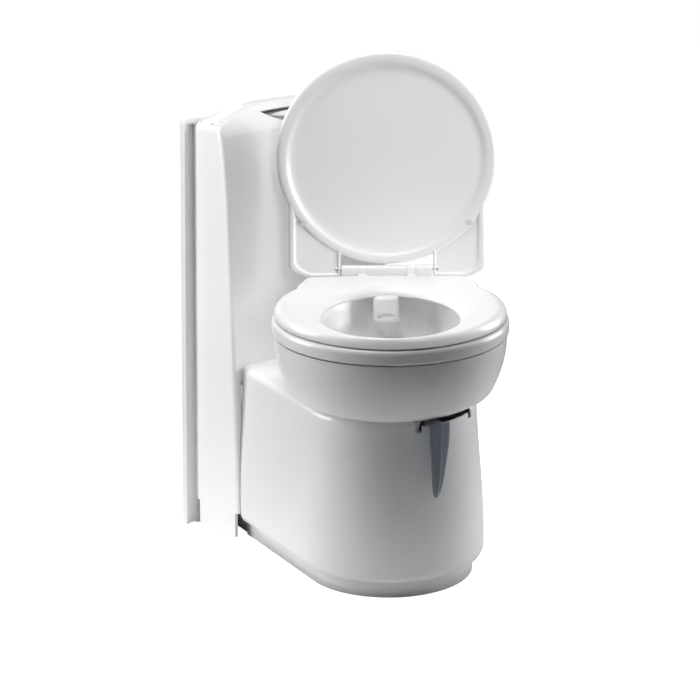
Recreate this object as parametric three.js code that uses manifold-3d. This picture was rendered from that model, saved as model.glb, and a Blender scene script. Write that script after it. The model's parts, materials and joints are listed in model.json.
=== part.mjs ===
// Cassette toilet with a swivelling bowl, for a caravan or camper.
// Millimetres. The origin is on the floor, on the bowl's swivel axis.
// +X is to the right seen from the front, +Y runs back to the wall, +Z is up.

import * as THREE from 'three';
import { mergeVertices } from 'three/addons/utils/BufferGeometryUtils.js';
import Module from 'manifold-3d';

const wasm = await Module();
wasm.setup();

// ---------- driving dimensions ----------

const GAP = 0.3;              // between two pieces that touch
const WALL = 3;               // moulded shell
const RAD = Math.PI / 180;

const PLATE_HALF = 196;       // back plate, half width
const PLATE_BACK = 367;
const PLATE_FRONT = 354;
const PLATE_SIDE_TOP = 713;   // where the straight side ends
const TOTAL_HEIGHT = 729;

const COLUMN_BOTTOM = 42;
const COLUMN_HALF = 178;      // at its rear
const COLUMN_REAR = PLATE_FRONT - GAP;
const COLUMN_SIDE_TOP = 699;
const COLUMN_FRONT_HALF = 154; // half width where the side walls are COLUMN_FRONT back
const COLUMN_FRONT = 250;
const COLUMN_TAPER = 20 / 95; // side walls close in towards the front
const FRONT_CENTRE_Y = -260;  // axis of the column's hollow front face

const BASE_CENTRE_Y = 6.6;    // centre of the round pedestal front
const BASE_TOP = 292.5;
const BASE_REAR_Y = 256;
const BASE_REAR_SCALE = 0.925; // the pedestal is narrower where it meets the column
const PLINTH_RADIUS = 140;
const PLINTH_TOP = 41;

const BOWL_TURN = -30;        // rest angle of the bowl about +Z, degrees
const BOWL_BOTTOM = 294;
const RIM_BOTTOM = 402;
const RIM_TOP = 426;
const RIM_RADIUS = 195.7;
const RIM_BORE = 168;
const RIM_REAR = 204;
const SPIGOT_RADIUS = 96;
const OUTLET_RADIUS = 44;
const OUTLET_BOTTOM = 212.5;

const HINGE_Y = 193;
const HINGE_Z = 452;
const PIN_RADIUS = 3;
const PIN_BORE = 3.1;
const BLOCK_HALF = 78;

const SEAT_TOP = 445;
const SEAT_BOTTOM = 428;
const SEAT_RADIUS = 194.3;
const SEAT_REAR = 183;
const REAR_HALF = 142;        // half width of the seat and rim at their square rear
const LUG_X = 42;             // seat hinge lugs, in slots in the hinge block
const LUG_WIDTH = 15;

const LID_OPEN = 94;          // degrees from closed at rest
const LID_HALF = 189;
const LID_HALF_LENGTH = 183;
const LID_CENTRE = 191.6;     // from the hinge axis
const LID_UNDER = 5;          // rim's face, from the hinge axis towards the seat
const LID_OVER = -15;
const LID_RIM = 22;
const WING_HALF = 168.5;
const WING_INNER = 79.5;      // the wings' inner ends, outside the hinge barrel

const SEAL_TOP = 204;
const TANK_HALF = 121;
const TANK_BOTTOM = 8;
const TANK_TOP = 200;
const TANK_REAR = 338;
const TANK_WALL = 4;
const DRAIN_RADIUS = 52;

const BLADE_PIVOT = new THREE.Vector2(83, 56);
const GEAR_DISTANCE = BLADE_PIVOT.length();
const RING_TEETH = 60;
const PINION_TEETH = 30;
const RING_PITCH = GEAR_DISTANCE * RING_TEETH / (RING_TEETH + PINION_TEETH);
const PINION_PITCH = GEAR_DISTANCE - RING_PITCH;
const GEAR_BOTTOM = 227;
const GEAR_TOP = 235;
const LEVER_TURN = -2.5;      // rest angle of the lever from straight ahead, degrees

const PAN_TOP = 3;
const WHEEL_RADIUS = 19;
const WHEEL_Z = PAN_TOP + GAP + WHEEL_RADIUS;
const WHEEL_X = TANK_HALF - 11;

// ---------- materials ----------

function finish(color, roughness, metalness = 0) {
  return new THREE.MeshStandardMaterial({ color, roughness, metalness });
}

const white = finish(0xf2f3f3, 0.25);
const seatWhite = finish(0xf6f6f5, 0.22);
const panelGrey = finish(0x9a9da1, 0.4);
const slate = finish(0x4c535c, 0.35);
const rubber = finish(0x2e3032, 0.8);
const tankGrey = finish(0xb9bdbf, 0.5);
const clear = finish(0xc9d6de, 0.1);
const steel = finish(0xb8bcc0, 0.3, 1);
const green = finish(0x3b7a4c, 0.6);
const hoseGrey = finish(0x8d9092, 0.6);
const capOrange = finish(0xd9822b, 0.45);

// ---------- solids ----------

function solid(geometry) {
  const bare = new THREE.BufferGeometry();
  bare.setAttribute('position', geometry.getAttribute('position'));
  bare.setIndex(geometry.index);
  const merged = mergeVertices(bare, 1e-4);
  const corners = merged.index.array;
  const triVerts = [];
  for (let i = 0; i < corners.length; i += 3) {
    const [a, b, c] = [corners[i], corners[i + 1], corners[i + 2]];
    if (a !== b && b !== c && c !== a) triVerts.push(a, b, c);
  }
  const vertProperties = merged.getAttribute('position').array;
  const mesh = new wasm.Mesh({ numProp: 3, vertProperties, triVerts: new Uint32Array(triVerts) });
  return new wasm.Manifold(mesh);
}

function geometryOf(body) {
  const mesh = body.getMesh();
  const geometry = new THREE.BufferGeometry();
  geometry.setAttribute('position', new THREE.BufferAttribute(mesh.vertProperties, mesh.numProp));
  geometry.setIndex(new THREE.BufferAttribute(mesh.triVerts, 1));
  geometry.computeVertexNormals();
  return geometry;
}

function box(x0, x1, y0, y1, z0, z1) {
  const geometry = new THREE.BoxGeometry(x1 - x0, y1 - y0, z1 - z0);
  geometry.translate((x0 + x1) / 2, (y0 + y1) / 2, (z0 + z1) / 2);
  return solid(geometry);
}

// A cylinder about its centre, standing up or lying along X or Y.
function rod(radius, length, [x, y, z], direction = 'z', segments = 20) {
  const geometry = new THREE.CylinderGeometry(radius, radius, length, segments);
  if (direction === 'z') geometry.rotateX(Math.PI / 2);
  if (direction === 'x') geometry.rotateZ(Math.PI / 2);
  geometry.translate(x, y, z);
  return solid(geometry);
}

function outline(points) {
  return new THREE.Shape(points.map(([x, y]) => new THREE.Vector2(x, y)));
}

function extruded(shape, depth, curveSegments) {
  return new THREE.ExtrudeGeometry(shape, { depth, bevelEnabled: false, curveSegments });
}

// A shape in the XY plane, standing from z0 to z1.
function upright(shape, z0, z1, curveSegments = 12) {
  const geometry = extruded(shape, z1 - z0, curveSegments);
  geometry.translate(0, 0, z0);
  return solid(geometry);
}

// A shape drawn in (x, z), running from y0 to y1.
function alongY(shape, y0, y1, curveSegments = 12) {
  const geometry = extruded(shape, y1 - y0, curveSegments);
  geometry.rotateX(Math.PI / 2);
  geometry.translate(0, y1, 0);
  return solid(geometry);
}

// A shape drawn in (y, z), running from x0 to x1.
function alongX(shape, x0, x1, curveSegments = 12) {
  const geometry = extruded(shape, x1 - x0, curveSegments);
  geometry.rotateX(Math.PI / 2);
  geometry.rotateZ(Math.PI / 2);
  geometry.translate(x0, 0, 0);
  return solid(geometry);
}

// A profile of (radius, z) points turned about a vertical axis, counter-clockwise.
function turned(profile, segments = 36, axisY = 0) {
  const points = profile.map(([r, z]) => new THREE.Vector2(r, z));
  const geometry = new THREE.LatheGeometry(points, segments);
  geometry.rotateX(Math.PI / 2);
  geometry.translate(0, axisY, 0);
  return solid(geometry);
}

function ring(inner, outer, z0, z1, segments = 36) {
  return turned([[inner, z0], [outer, z0], [outer, z1], [inner, z1], [inner, z0]], segments);
}

// A round bar along a path of points.
function swept(path, radius, steps) {
  const curve = new THREE.CatmullRomCurve3(path.map(([x, y, z]) => new THREE.Vector3(x, y, z)));
  const shape = new THREE.Shape().absarc(0, 0, radius, 0, 2 * Math.PI);
  const geometry = new THREE.ExtrudeGeometry(shape, { steps, extrudePath: curve, curveSegments: 5 });
  return solid(geometry);
}

// A skin through rings of points, all rings with the same number of points, flat at both ends.
function lofted(rings) {
  const count = rings[0].length;
  const positions = rings.flat().flat();
  const index = [];
  for (let level = 0; level + 1 < rings.length; level++) {
    for (let i = 0; i < count; i++) {
      const a = level * count + i;
      const b = level * count + (i + 1) % count;
      index.push(a, b, b + count, a, b + count, a + count);
    }
  }
  const flat = (points) => points.map(([x, y]) => new THREE.Vector2(x, y));
  const capOf = (points) => THREE.ShapeUtils.triangulateShape(flat(points), []);
  for (const [a, b, c] of capOf(rings[0])) index.push(c, b, a);
  const last = (rings.length - 1) * count;
  for (const [a, b, c] of capOf(rings.at(-1))) index.push(last + a, last + b, last + c);
  const geometry = new THREE.BufferGeometry();
  geometry.setAttribute('position', new THREE.Float32BufferAttribute(positions, 3));
  geometry.setIndex(index);
  return solid(geometry);
}

function part(name, material, body, parent) {
  const mesh = new THREE.Mesh(geometryOf(body), material);
  mesh.name = name;
  parent.add(mesh);
  return mesh;
}

// ---------- console: the fixed column and pedestal ----------

const consoleGroup = new THREE.Group();

const COLUMN_FRONT_FOOT = 243;  // y of the front edge of the side wall at the floor
const COLUMN_LEAN = 0.0477;     // the front edge runs back this much per unit of height
const FLARE_START = 545;        // above this height the edge curves back further
const FLARE_SPAN = 153;
const FLARE = 8.6;

function columnFrontY(z) {
  const flare = Math.max(0, (z - FLARE_START) / FLARE_SPAN);
  return COLUMN_FRONT_FOOT + COLUMN_LEAN * z + FLARE * flare * flare;
}

function columnSideX(y) {
  return COLUMN_FRONT_HALF + (y - COLUMN_FRONT) * COLUMN_TAPER;
}

// Distance of the column's front face from the axis of its hollow, at a height.
function frontRadius(z) {
  const y = columnFrontY(z);
  return Math.hypot(columnSideX(y), y - FRONT_CENTRE_Y);
}

// Everything in front of and above the column, moved back by inset.
function columnCutter(inset) {
  const heights = [-10, 200, 400, 545, 600, 650];
  const face = heights.map((z) => [frontRadius(Math.max(z, 0)) + inset, z]);
  const crown = [[568, 690], [576, 702], [588, 714], [602, 723], [622, 731]];
  const top = crown.map(([r, z]) => [r + inset * Math.SQRT1_2, z - inset * Math.SQRT1_2]);
  return turned([[0, -10], ...face, ...top, [660, 742], [660, 760], [0, 760]], 96, FRONT_CENTRE_Y);
}

function archShape(halfWidth, foot, sideTop, crown) {
  const shape = new THREE.Shape();
  shape.moveTo(-halfWidth, foot);
  shape.lineTo(halfWidth, foot);
  shape.lineTo(halfWidth, sideTop);
  shape.quadraticCurveTo(halfWidth * 0.55, crown, 0, crown);
  shape.quadraticCurveTo(-halfWidth * 0.55, crown, -halfWidth, sideTop);
  shape.closePath();
  return shape;
}

// The column's outer form, drawn in by inset on every face.
function columnForm(inset, foot, rear) {
  const plan = [[columnSideX(230), 230], [columnSideX(345), 345], [COLUMN_HALF, 353], [COLUMN_HALF, rear]];
  const right = plan.map(([x, y]) => [x - inset, y]);
  const left = right.map(([x, y]) => [-x, y]).reverse();
  const body = upright(outline([...right, ...left]), foot, 740);
  const top = archShape(COLUMN_HALF + 1 - inset, foot - 1, COLUMN_SIDE_TOP - inset, TOTAL_HEIGHT - 1 - inset);
  return body.intersect(alongY(top, 200, 400)).subtract(columnCutter(inset));
}

function tilted(body, angle, position) {
  return body.rotate([angle, 0, 0]).translate(position);
}

const PANEL_TILT = 40;          // slope of the column's top at the control panel
const PANEL_PLACE = [0, 331, 715];
const PANEL_HALF = 64;
const PANEL_RISE = 4;           // the panel's upper edge is almost straight, its lower edge full
const PANEL_FALL = 24;
const BUTTON_HALF = 44;
const BUTTON_REACH = 6.5;
const BUTTON_MIDDLE = -10.5;    // below the line through the panel's tips

function lensShape(half, rise, fall) {
  const shape = new THREE.Shape();
  shape.moveTo(-half, 0);
  shape.quadraticCurveTo(0, -2 * fall, half, 0);
  shape.quadraticCurveTo(0, 2 * rise, -half, 0);
  return shape;
}

function lens(half, rise, fall, z0, z1) {
  return tilted(upright(lensShape(half, rise, fall), z0, z1, 8), PANEL_TILT, PANEL_PLACE);
}

function buttonLens(grow, z0, z1) {
  const reach = BUTTON_REACH + grow;
  const body = upright(lensShape(BUTTON_HALF + grow, reach, reach), z0, z1, 8);
  return tilted(body.translate([0, BUTTON_MIDDLE, 0]), PANEL_TILT, PANEL_PLACE);
}

function addColumn() {
  const inside = columnForm(WALL, COLUMN_BOTTOM - 2, 380);
  const shell = columnForm(0, COLUMN_BOTTOM, COLUMN_REAR)
    .subtract(inside)
    .subtract(box(-137, 137, 230, 300, 0, 268))
    .subtract(lens(PANEL_HALF + GAP, PANEL_RISE + GAP, PANEL_FALL + GAP, -20, 30));
  part('column_shell', white, shell, consoleGroup);

  const plate = alongY(archShape(PLATE_HALF, 0, PLATE_SIDE_TOP, TOTAL_HEIGHT), PLATE_FRONT, PLATE_BACK)
    .subtract(box(-134, 134, 340, 380, -1, 240))
    .subtract(box(-150, 150, 340, 380, 262, 672));
  part('back_plate', white, plate, consoleGroup);
}

function addColumnPlinth(name, side) {
  const outer = [[side * 148.5, 253.5], [side * 168, 345]];
  const inner = [[side * 165, 345], [side * 145.5, 253.5]];
  const points = side > 0 ? [...outer, ...inner] : [...outer, ...inner].reverse();
  part(name, white, upright(outline(points), 0, COLUMN_BOTTOM - GAP), consoleGroup);
}

// One level of the pedestal: a half round at the front, sides that close in to the rear.
function pedestalRing(halfWidth, z, rear) {
  const points = [];
  for (let angle = 180; angle <= 360; angle += 7.5) {
    const c = Math.cos(angle * RAD);
    const s = Math.sin(angle * RAD);
    points.push([halfWidth * c, BASE_CENTRE_Y + halfWidth * s, z]);
  }
  const closing = (1 - BASE_REAR_SCALE) / (BASE_REAR_Y - BASE_CENTRE_Y);
  const rearHalf = halfWidth * (1 - closing * (rear - BASE_CENTRE_Y));
  points.push([rearHalf, rear, z], [-rearHalf, rear, z]);
  return points;
}

// Half width of the pedestal's outer face at each height.
const PEDESTAL = [
  [28, 150], [33, 155.5], [43, 158.6], [74, 158.6],
  [131, 156.5], [183, 152.5], [236, 148.5], [BASE_TOP, 144.5],
];

function pedestalForm(inset, rear) {
  const rings = PEDESTAL.map(([z, half]) => pedestalRing(half - inset, z === BASE_TOP ? z - inset : z, rear));
  const [footZ, footHalf] = PEDESTAL[0];
  if (inset > 0) rings.unshift(pedestalRing(footHalf - inset, footZ - 5, rear));
  return lofted(rings);
}

// A ring sector about the swivel axis, its angles in degrees from straight ahead, positive to the right.
function sector(inner, outer, fromAngle, toAngle, z0, z1) {
  const shape = new THREE.Shape();
  const [start, end] = [(fromAngle - 90) * RAD, (toAngle - 90) * RAD];
  shape.absarc(0, 0, outer, start, end, false);
  shape.absarc(0, 0, inner, end, start, true);
  shape.closePath();
  return upright(shape, z0, z1, 8);
}

const SLOT_FROM = -15;          // the lever's slot, degrees from straight ahead
const SLOT_TO = 38;
const SLOT_END = 5;             // its deeper ends

function addPedestal() {
  const form = pedestalForm(0, 300).intersect(columnCutter(-GAP));
  const inside = pedestalForm(WALL, 320);
  const slot = sector(116, 175, SLOT_FROM, SLOT_TO, 282, 300)
    .add(sector(116, 175, SLOT_FROM, SLOT_FROM + SLOT_END, 272, 290))
    .add(sector(116, 175, SLOT_TO - SLOT_END, SLOT_TO, 272, 290));
  const shell = form.subtract(inside).subtract(rod(104.5, 20, [0, 0, BASE_TOP], 'z', 48)).subtract(slot);
  part('base_shell', white, shell, consoleGroup);

  const standing = (radius, z0, z1, rear) => lofted(
    [pedestalRing(radius, z0, rear), pedestalRing(radius, z1, rear)]);
  const plinth = standing(PLINTH_RADIUS, 0, PLINTH_TOP, 243);
  const plinthInside = standing(PLINTH_RADIUS - WALL, -1, 50, 260);
  part('base_plinth', white, plinth.subtract(plinthInside), consoleGroup);

  const pan = standing(PLINTH_RADIUS - WALL - 1, 0, PAN_TOP, 352)
    .subtract(rod(2.6, 20, [-100, 300, 0], 'z', 12))
    .subtract(rod(2.6, 20, [100, 300, 0], 'z', 12));
  part('floor_pan', tankGrey, pan, consoleGroup);
  for (const [name, x] of [['floor_screw_left', -100], ['floor_screw_right', 100]]) {
    const head = rod(4.5, 2, [x, 300, PAN_TOP + GAP + 1], 'z', 12);
    const screw = rod(2.3, 3.2, [x, 300, 1.9], 'z', 12).add(head);
    part(name, steel, screw, consoleGroup);
  }
}

addColumn();
addColumnPlinth('column_plinth_left', -1);
addColumnPlinth('column_plinth_right', 1);
addPedestal();

// ---------- console: control panel, flush tank, pump ----------

function addControlPanel() {
  const panel = lens(PANEL_HALF, PANEL_RISE, PANEL_FALL, -9, -3).subtract(buttonLens(GAP, -20, 10));
  part('control_panel', panelGrey, panel, consoleGroup);
  const board = tilted(box(-30, 30, -19, -3, -24, -22), PANEL_TILT, PANEL_PLACE);
  part('control_board', green, board, consoleGroup);

  const buttonGroup = new THREE.Group();
  consoleGroup.add(buttonGroup);
  const windowAt = (half, z0, z1) => {
    const body = upright(lensShape(half, half / 4, half / 4), z0, z1, 8);
    return tilted(body.translate([0, BUTTON_MIDDLE, 0]), PANEL_TILT, PANEL_PLACE);
  };
  const button = buttonLens(0, -12, -2).subtract(windowAt(12 + GAP, -5, 5));
  part('flush_button', white, button, buttonGroup);
  part('level_lens', clear, windowAt(11.6, -4.6, -1.6), buttonGroup);
}

const TANK_INSET = 9;

function addFlushTank() {
  const slab = (inset) => box(-200, 200, 200, 344 - inset, 340 + inset, 640 - inset);
  const neck = rod(24, 12, [90, 350, 590], 'y');
  const bore = rod(20, 60, [90, 350, 590], 'y');
  const tank = columnForm(TANK_INSET, 300, 400).intersect(slab(0))
    .subtract(columnForm(TANK_INSET + WALL, 300, 400).intersect(slab(WALL)))
    .add(neck)
    .subtract(bore);
  part('flush_tank', tankGrey, tank, consoleGroup);

  const cap = rod(28, 9, [90, 361.5, 590], 'y').subtract(rod(24.5, 7, [90, 359, 590], 'y'))
    .add(box(66, 114, 362, 366.5, 587, 593));
  part('fill_cap', capOrange, cap, consoleGroup);
}

const PUMP = [-112, 322];

function addPump() {
  const [x, y] = PUMP;
  const outside = [[9, 246], [20, 246], [20, 312], [8, 312]];
  const inside = [[8, 309], [16, 309], [16, 249], [9, 249]];
  const housing = turned([...outside, ...inside, outside[0]], 24).translate([x, y, 0]);
  part('pump_body', tankGrey, housing, consoleGroup);
  const rotor = rod(12, 3, [x, y, 256], 'z', 16).add(box(x - 13, x + 13, y - 1.5, y + 1.5, 254.5, 262))
    .add(box(x - 1.5, x + 1.5, y - 13, y + 13, 254.5, 262));
  part('pump_rotor', hoseGrey, rotor, consoleGroup);

  const rise = [[x, y, 314], [x, y, 320], [x + 12, y - 6, 327], [x + 24, y - 12, 316]];
  const fall = [[-78, 300, 282], [-66, 282, 258], [-50, 235, 253], [-30, 125, 253]];
  part('flush_hose', hoseGrey, swept([...rise, ...fall], 6, 14), consoleGroup);
}

// ---------- console: blade mechanism under the bowl ----------

function gearShape(pitch, teeth, fromTooth, toTooth, bore, phase) {
  const step = 2 * Math.PI / teeth;
  const [root, tip] = [pitch - 2.6, pitch + 1.5];
  const points = [];
  for (let i = 0; i < teeth; i++) {
    const a = phase + i * step;
    const toothed = i >= fromTooth && i <= toTooth;
    for (const [shift, high] of [[-0.27, 0], [-0.13, 1], [0.13, 1], [0.27, 0]]) {
      if (!toothed && shift !== 0.27) continue;
      const r = high ? tip : root;
      points.push([r * Math.cos(a + shift * step), r * Math.sin(a + shift * step)]);
    }
  }
  const shape = outline(points);
  shape.holes.push(new THREE.Path().absarc(0, 0, bore, 0, 2 * Math.PI, true));
  return shape;
}

const PIVOT_ANGLE = Math.atan2(BLADE_PIVOT.y, BLADE_PIVOT.x);
const HUB_RADIUS = 14;

function addMechanism() {
  const plate = rod(132, 4, [0, BASE_CENTRE_Y, 224], 'z', 32)
    .subtract(rod(OUTLET_RADIUS + 9, 10, [0, 0, 224], 'z', 32))
    .subtract(rod(HUB_RADIUS + GAP, 10, [BLADE_PIVOT.x, BLADE_PIVOT.y, 224]));
  const postAt = (angle) => [126 * Math.cos(angle * RAD), BASE_CENTRE_Y + 126 * Math.sin(angle * RAD), 257.2];
  const posts = [-150, -30, 75, 150].map((angle) => rod(5, 64, postAt(angle), 'z', 10));
  const collar = ring(OUTLET_RADIUS + 9, OUTLET_RADIUS + 12, 223, 240, 32);
  part('mechanism_plate', tankGrey, posts.reduce((a, b) => a.add(b), plate).add(collar), consoleGroup);
  part('swivel_bearing', steel, ring(SPIGOT_RADIUS + 0.6, 103.6, 278, 293.4), consoleGroup);
}

function addLever(parent) {
  const leverGroup = new THREE.Group();
  parent.add(leverGroup);
  const phase = PIVOT_ANGLE - 48 * RAD;
  const ringGear = gearShape(RING_PITCH, RING_TEETH, 51, 62, OUTLET_RADIUS + 13, phase);
  part('ring_gear', steel, upright(ringGear, GEAR_BOTTOM, GEAR_TOP, 12), leverGroup);

  const handleGroup = new THREE.Group();
  handleGroup.rotation.z = LEVER_TURN * RAD;
  leverGroup.add(handleGroup);
  const arm = box(-7, 7, -124, -58, GEAR_TOP + GAP, 239).add(box(-7, 7, -124, -119, 236, 284.2));
  part('lever_arm', steel, arm, handleGroup);

  const blade = new THREE.Shape();
  blade.moveTo(-18, 290);
  blade.quadraticCurveTo(-18, 215, -14.5, 178);
  blade.quadraticCurveTo(-13, 170, -8.5, 170);
  blade.quadraticCurveTo(-4, 170, -2.5, 178);
  blade.quadraticCurveTo(7, 215, 18, 262);
  blade.lineTo(18, 290);
  blade.closePath();
  const handle = alongY(blade, -165, -158, 5).add(box(-10, 10, -160, -117, 284.5, 290));
  part('blade_lever', slate, handle, handleGroup);
}

function addPinion(parent) {
  const group = new THREE.Group();
  group.position.set(BLADE_PIVOT.x, BLADE_PIVOT.y, 0);
  parent.add(group);
  const facing = PIVOT_ANGLE + Math.PI;
  const step = 2 * Math.PI / PINION_TEETH;
  const gear = gearShape(PINION_PITCH, PINION_TEETH, 6, 16, 6, facing - 8.5 * step);
  const body = upright(gear, GEAR_BOTTOM, GEAR_TOP, 6)
    .add(rod(HUB_RADIUS, 30, [0, 0, 227.4]))
    .subtract(box(-4, 4, -20, 20, 212, 219));
  part('blade_pinion', tankGrey, body, group);
}

// ---------- bowl, seat and lid ----------

const bowlGroup = new THREE.Group();
bowlGroup.rotation.z = BOWL_TURN * RAD;

// Outer face of the bowl from its foot to the rim.
const BOWL_OUTSIDE = [
  [145, BOWL_BOTTOM], [155, 299], [165.7, 306], [171, 321],
  [179, 343], [186.5, 371], [190, 399], [190, RIM_BOTTOM - GAP],
];

function addBowl() {
  const inside = BOWL_OUTSIDE.slice(1).map(([r, z]) => [r - WALL, z + 1]).reverse();
  inside[0][1] = RIM_BOTTOM - GAP;
  const spigot = [[SPIGOT_RADIUS - 4, 276], [SPIGOT_RADIUS, 276], [SPIGOT_RADIUS, BOWL_BOTTOM]];
  const floor = [[140, BOWL_BOTTOM + WALL], [SPIGOT_RADIUS - 4, BOWL_BOTTOM + WALL]];
  const shell = turned([...spigot, ...BOWL_OUTSIDE, ...inside, ...floor, spigot[0]], 36);
  part('bowl_shell', white, shell, bowlGroup);

  const outlet = [[OUTLET_RADIUS, 240], [OUTLET_RADIUS, OUTLET_BOTTOM]];
  const wet = [[164, 424], [152, 385], [126, 345], [90, 308], [64, 272], ...outlet];
  const tube = [[OUTLET_RADIUS + 3, OUTLET_BOTTOM], [OUTLET_RADIUS + 3, 239]];
  const dry = [...tube, [67, 270], [93, 305.5], [129, 343], [155, 383.5], [167, 424]];
  const basin = turned([...dry, ...wet, dry[0]], 28);
  part('bowl_basin', white, basin.subtract(box(-22.6, 22.6, 140, 175, 408.6, 430)), bowlGroup);
}

function addRim() {
  const rim = new THREE.Shape();
  rim.moveTo(-REAR_HALF, RIM_REAR);
  rim.lineTo(-158, 115.5);
  rim.absarc(0, 0, RIM_RADIUS, 144 * RAD, 396 * RAD, false);
  rim.lineTo(REAR_HALF, RIM_REAR);
  rim.closePath();
  rim.holes.push(new THREE.Path().absarc(0, 0, RIM_BORE, 0, 2 * Math.PI, true));
  const rimBody = upright(rim, RIM_BOTTOM, RIM_TOP, 36)
    .subtract(box(-22.3, 22.3, 150, 190, 408, 424));
  part('rim_ring', white, rimBody, bowlGroup);
}

function addNozzle() {
  const nozzle = new THREE.Shape();
  nozzle.moveTo(-22, RIM_BORE);
  nozzle.lineTo(-22, 84);
  nozzle.absarc(0, 84, 22, Math.PI, 2 * Math.PI, false);
  nozzle.lineTo(22, RIM_BORE);
  nozzle.closePath();
  const mouth = box(-17, 17, 66, 172, 411.5, 420.5);
  const nozzleBody = upright(nozzle, 409, 423, 8).subtract(mouth)
    .subtract(box(-17, 17, 60, 90, 405, 413));
  part('flush_nozzle', white, nozzleBody, bowlGroup);
}

function addHinge() {
  const block = new THREE.Shape();
  block.moveTo(185.6, RIM_TOP + GAP);
  block.lineTo(RIM_REAR, RIM_TOP + GAP);
  block.lineTo(RIM_REAR, 446);
  block.absarc(HINGE_Y, HINGE_Z, 7, 0, Math.PI, false);
  block.lineTo(185.6, 448);
  block.closePath();
  const bore = rod(PIN_BORE, 200, [0, HINGE_Y, HINGE_Z], 'x');
  let body = alongX(block, -BLOCK_HALF, BLOCK_HALF, 8).subtract(bore);
  for (const side of [-1, 1]) {
    const half = LUG_WIDTH / 2 + GAP;
    body = body.subtract(box(side * LUG_X - half, side * LUG_X + half, 180, 202.5, 436, 470));
  }
  part('hinge_block', white, body, bowlGroup);
  part('hinge_pin', steel, rod(PIN_RADIUS, 176, [0, HINGE_Y, HINGE_Z], 'x'), bowlGroup);
}

function seatOutline() {
  const shape = new THREE.Shape();
  shape.moveTo(-REAR_HALF, SEAT_REAR);
  shape.lineTo(-157, 133);
  shape.lineTo(-159, 112);
  shape.absarc(0, 1, SEAT_RADIUS, 145 * RAD, 395 * RAD, false);
  shape.lineTo(157, 133);
  shape.lineTo(REAR_HALF, SEAT_REAR);
  shape.closePath();
  return shape;
}

function addSeat() {
  const seatGroup = new THREE.Group();
  bowlGroup.add(seatGroup);
  const shape = seatOutline();
  shape.holes.push(new THREE.Path().absellipse(0, -15, 114, 139, 0, 2 * Math.PI, true));
  let seat = upright(shape, SEAT_BOTTOM, SEAT_TOP, 36);
  for (const side of [-1, 1]) {
    const [x0, x1] = [side * LUG_X - LUG_WIDTH / 2, side * LUG_X + LUG_WIDTH / 2];
    const lug = rod(7, LUG_WIDTH, [side * LUG_X, HINGE_Y, HINGE_Z], 'x')
      .add(box(x0, x1, 176, HINGE_Y - 2, 436, SEAT_TOP + 1.4))
      .subtract(rod(PIN_BORE, 60, [side * LUG_X, HINGE_Y, HINGE_Z], 'x'));
    seat = seat.add(lug);
  }
  part('seat_ring', seatWhite, seat, seatGroup);
  for (const [name, x, y] of [
    ['seat_bumper_front_left', -70, -163], ['seat_bumper_front_right', 70, -163],
    ['seat_bumper_rear_left', -148, 100], ['seat_bumper_rear_right', 148, 100],
  ]) {
    part(name, rubber, rod(7, 1.4, [x, y, SEAT_BOTTOM - GAP - 0.7], 'z', 12), seatGroup);
  }
}

// Drawn closed, about the hinge axis: the lid reaches towards -Y and its face looks down.
function addLid() {
  const lidGroup = new THREE.Group();
  lidGroup.position.set(0, HINGE_Y, HINGE_Z);
  lidGroup.rotation.x = -LID_OPEN * RAD;
  bowlGroup.add(lidGroup);

  const disc = (inset) => new THREE.Shape().absellipse(
    0, -LID_CENTRE, LID_HALF - inset, LID_HALF_LENGTH - inset, 0, 2 * Math.PI);
  const [under, over] = [-LID_UNDER, -LID_OVER];
  const rearEdge = [[WING_INNER, 14], [139, 14], [WING_HALF, -7], [WING_HALF, -88]];
  const rightWing = [...rearEdge, [150, -120], [110, -120], [WING_INNER, -60]];
  const leftWing = rightWing.map(([x, y]) => [-x, y]).reverse();
  let lid = upright(disc(6), under + 12, over + 3, 24).add(upright(disc(0), under, over - 2, 24));
  for (const wing of [rightWing, leftWing]) lid = lid.add(upright(outline(wing), under, over - 2));
  lid = lid.subtract(upright(disc(LID_RIM), under - 1, under + 8, 24))
    .subtract(rod(PIN_BORE, 182, [0, 0, 0], 'x'));
  part('lid_panel', seatWhite, lid, lidGroup);
  for (const [name, x] of [['lid_bumper_left', -142], ['lid_bumper_right', 142]]) {
    part(name, rubber, rod(5, 1.2, [x, -80, under - GAP - 0.6], 'z', 12), lidGroup);
  }
}

// ---------- waste cassette ----------

function cassettePlan(inset, rear) {
  const shape = new THREE.Shape();
  shape.moveTo(TANK_HALF - inset, rear - inset);
  shape.lineTo(-TANK_HALF + inset, rear - inset);
  shape.absarc(0, 0, TANK_HALF - inset, Math.PI, 2 * Math.PI, false);
  shape.closePath();
  return shape;
}

const SPOUT = [75, 290];
const VENT = [-85, 300];

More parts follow.
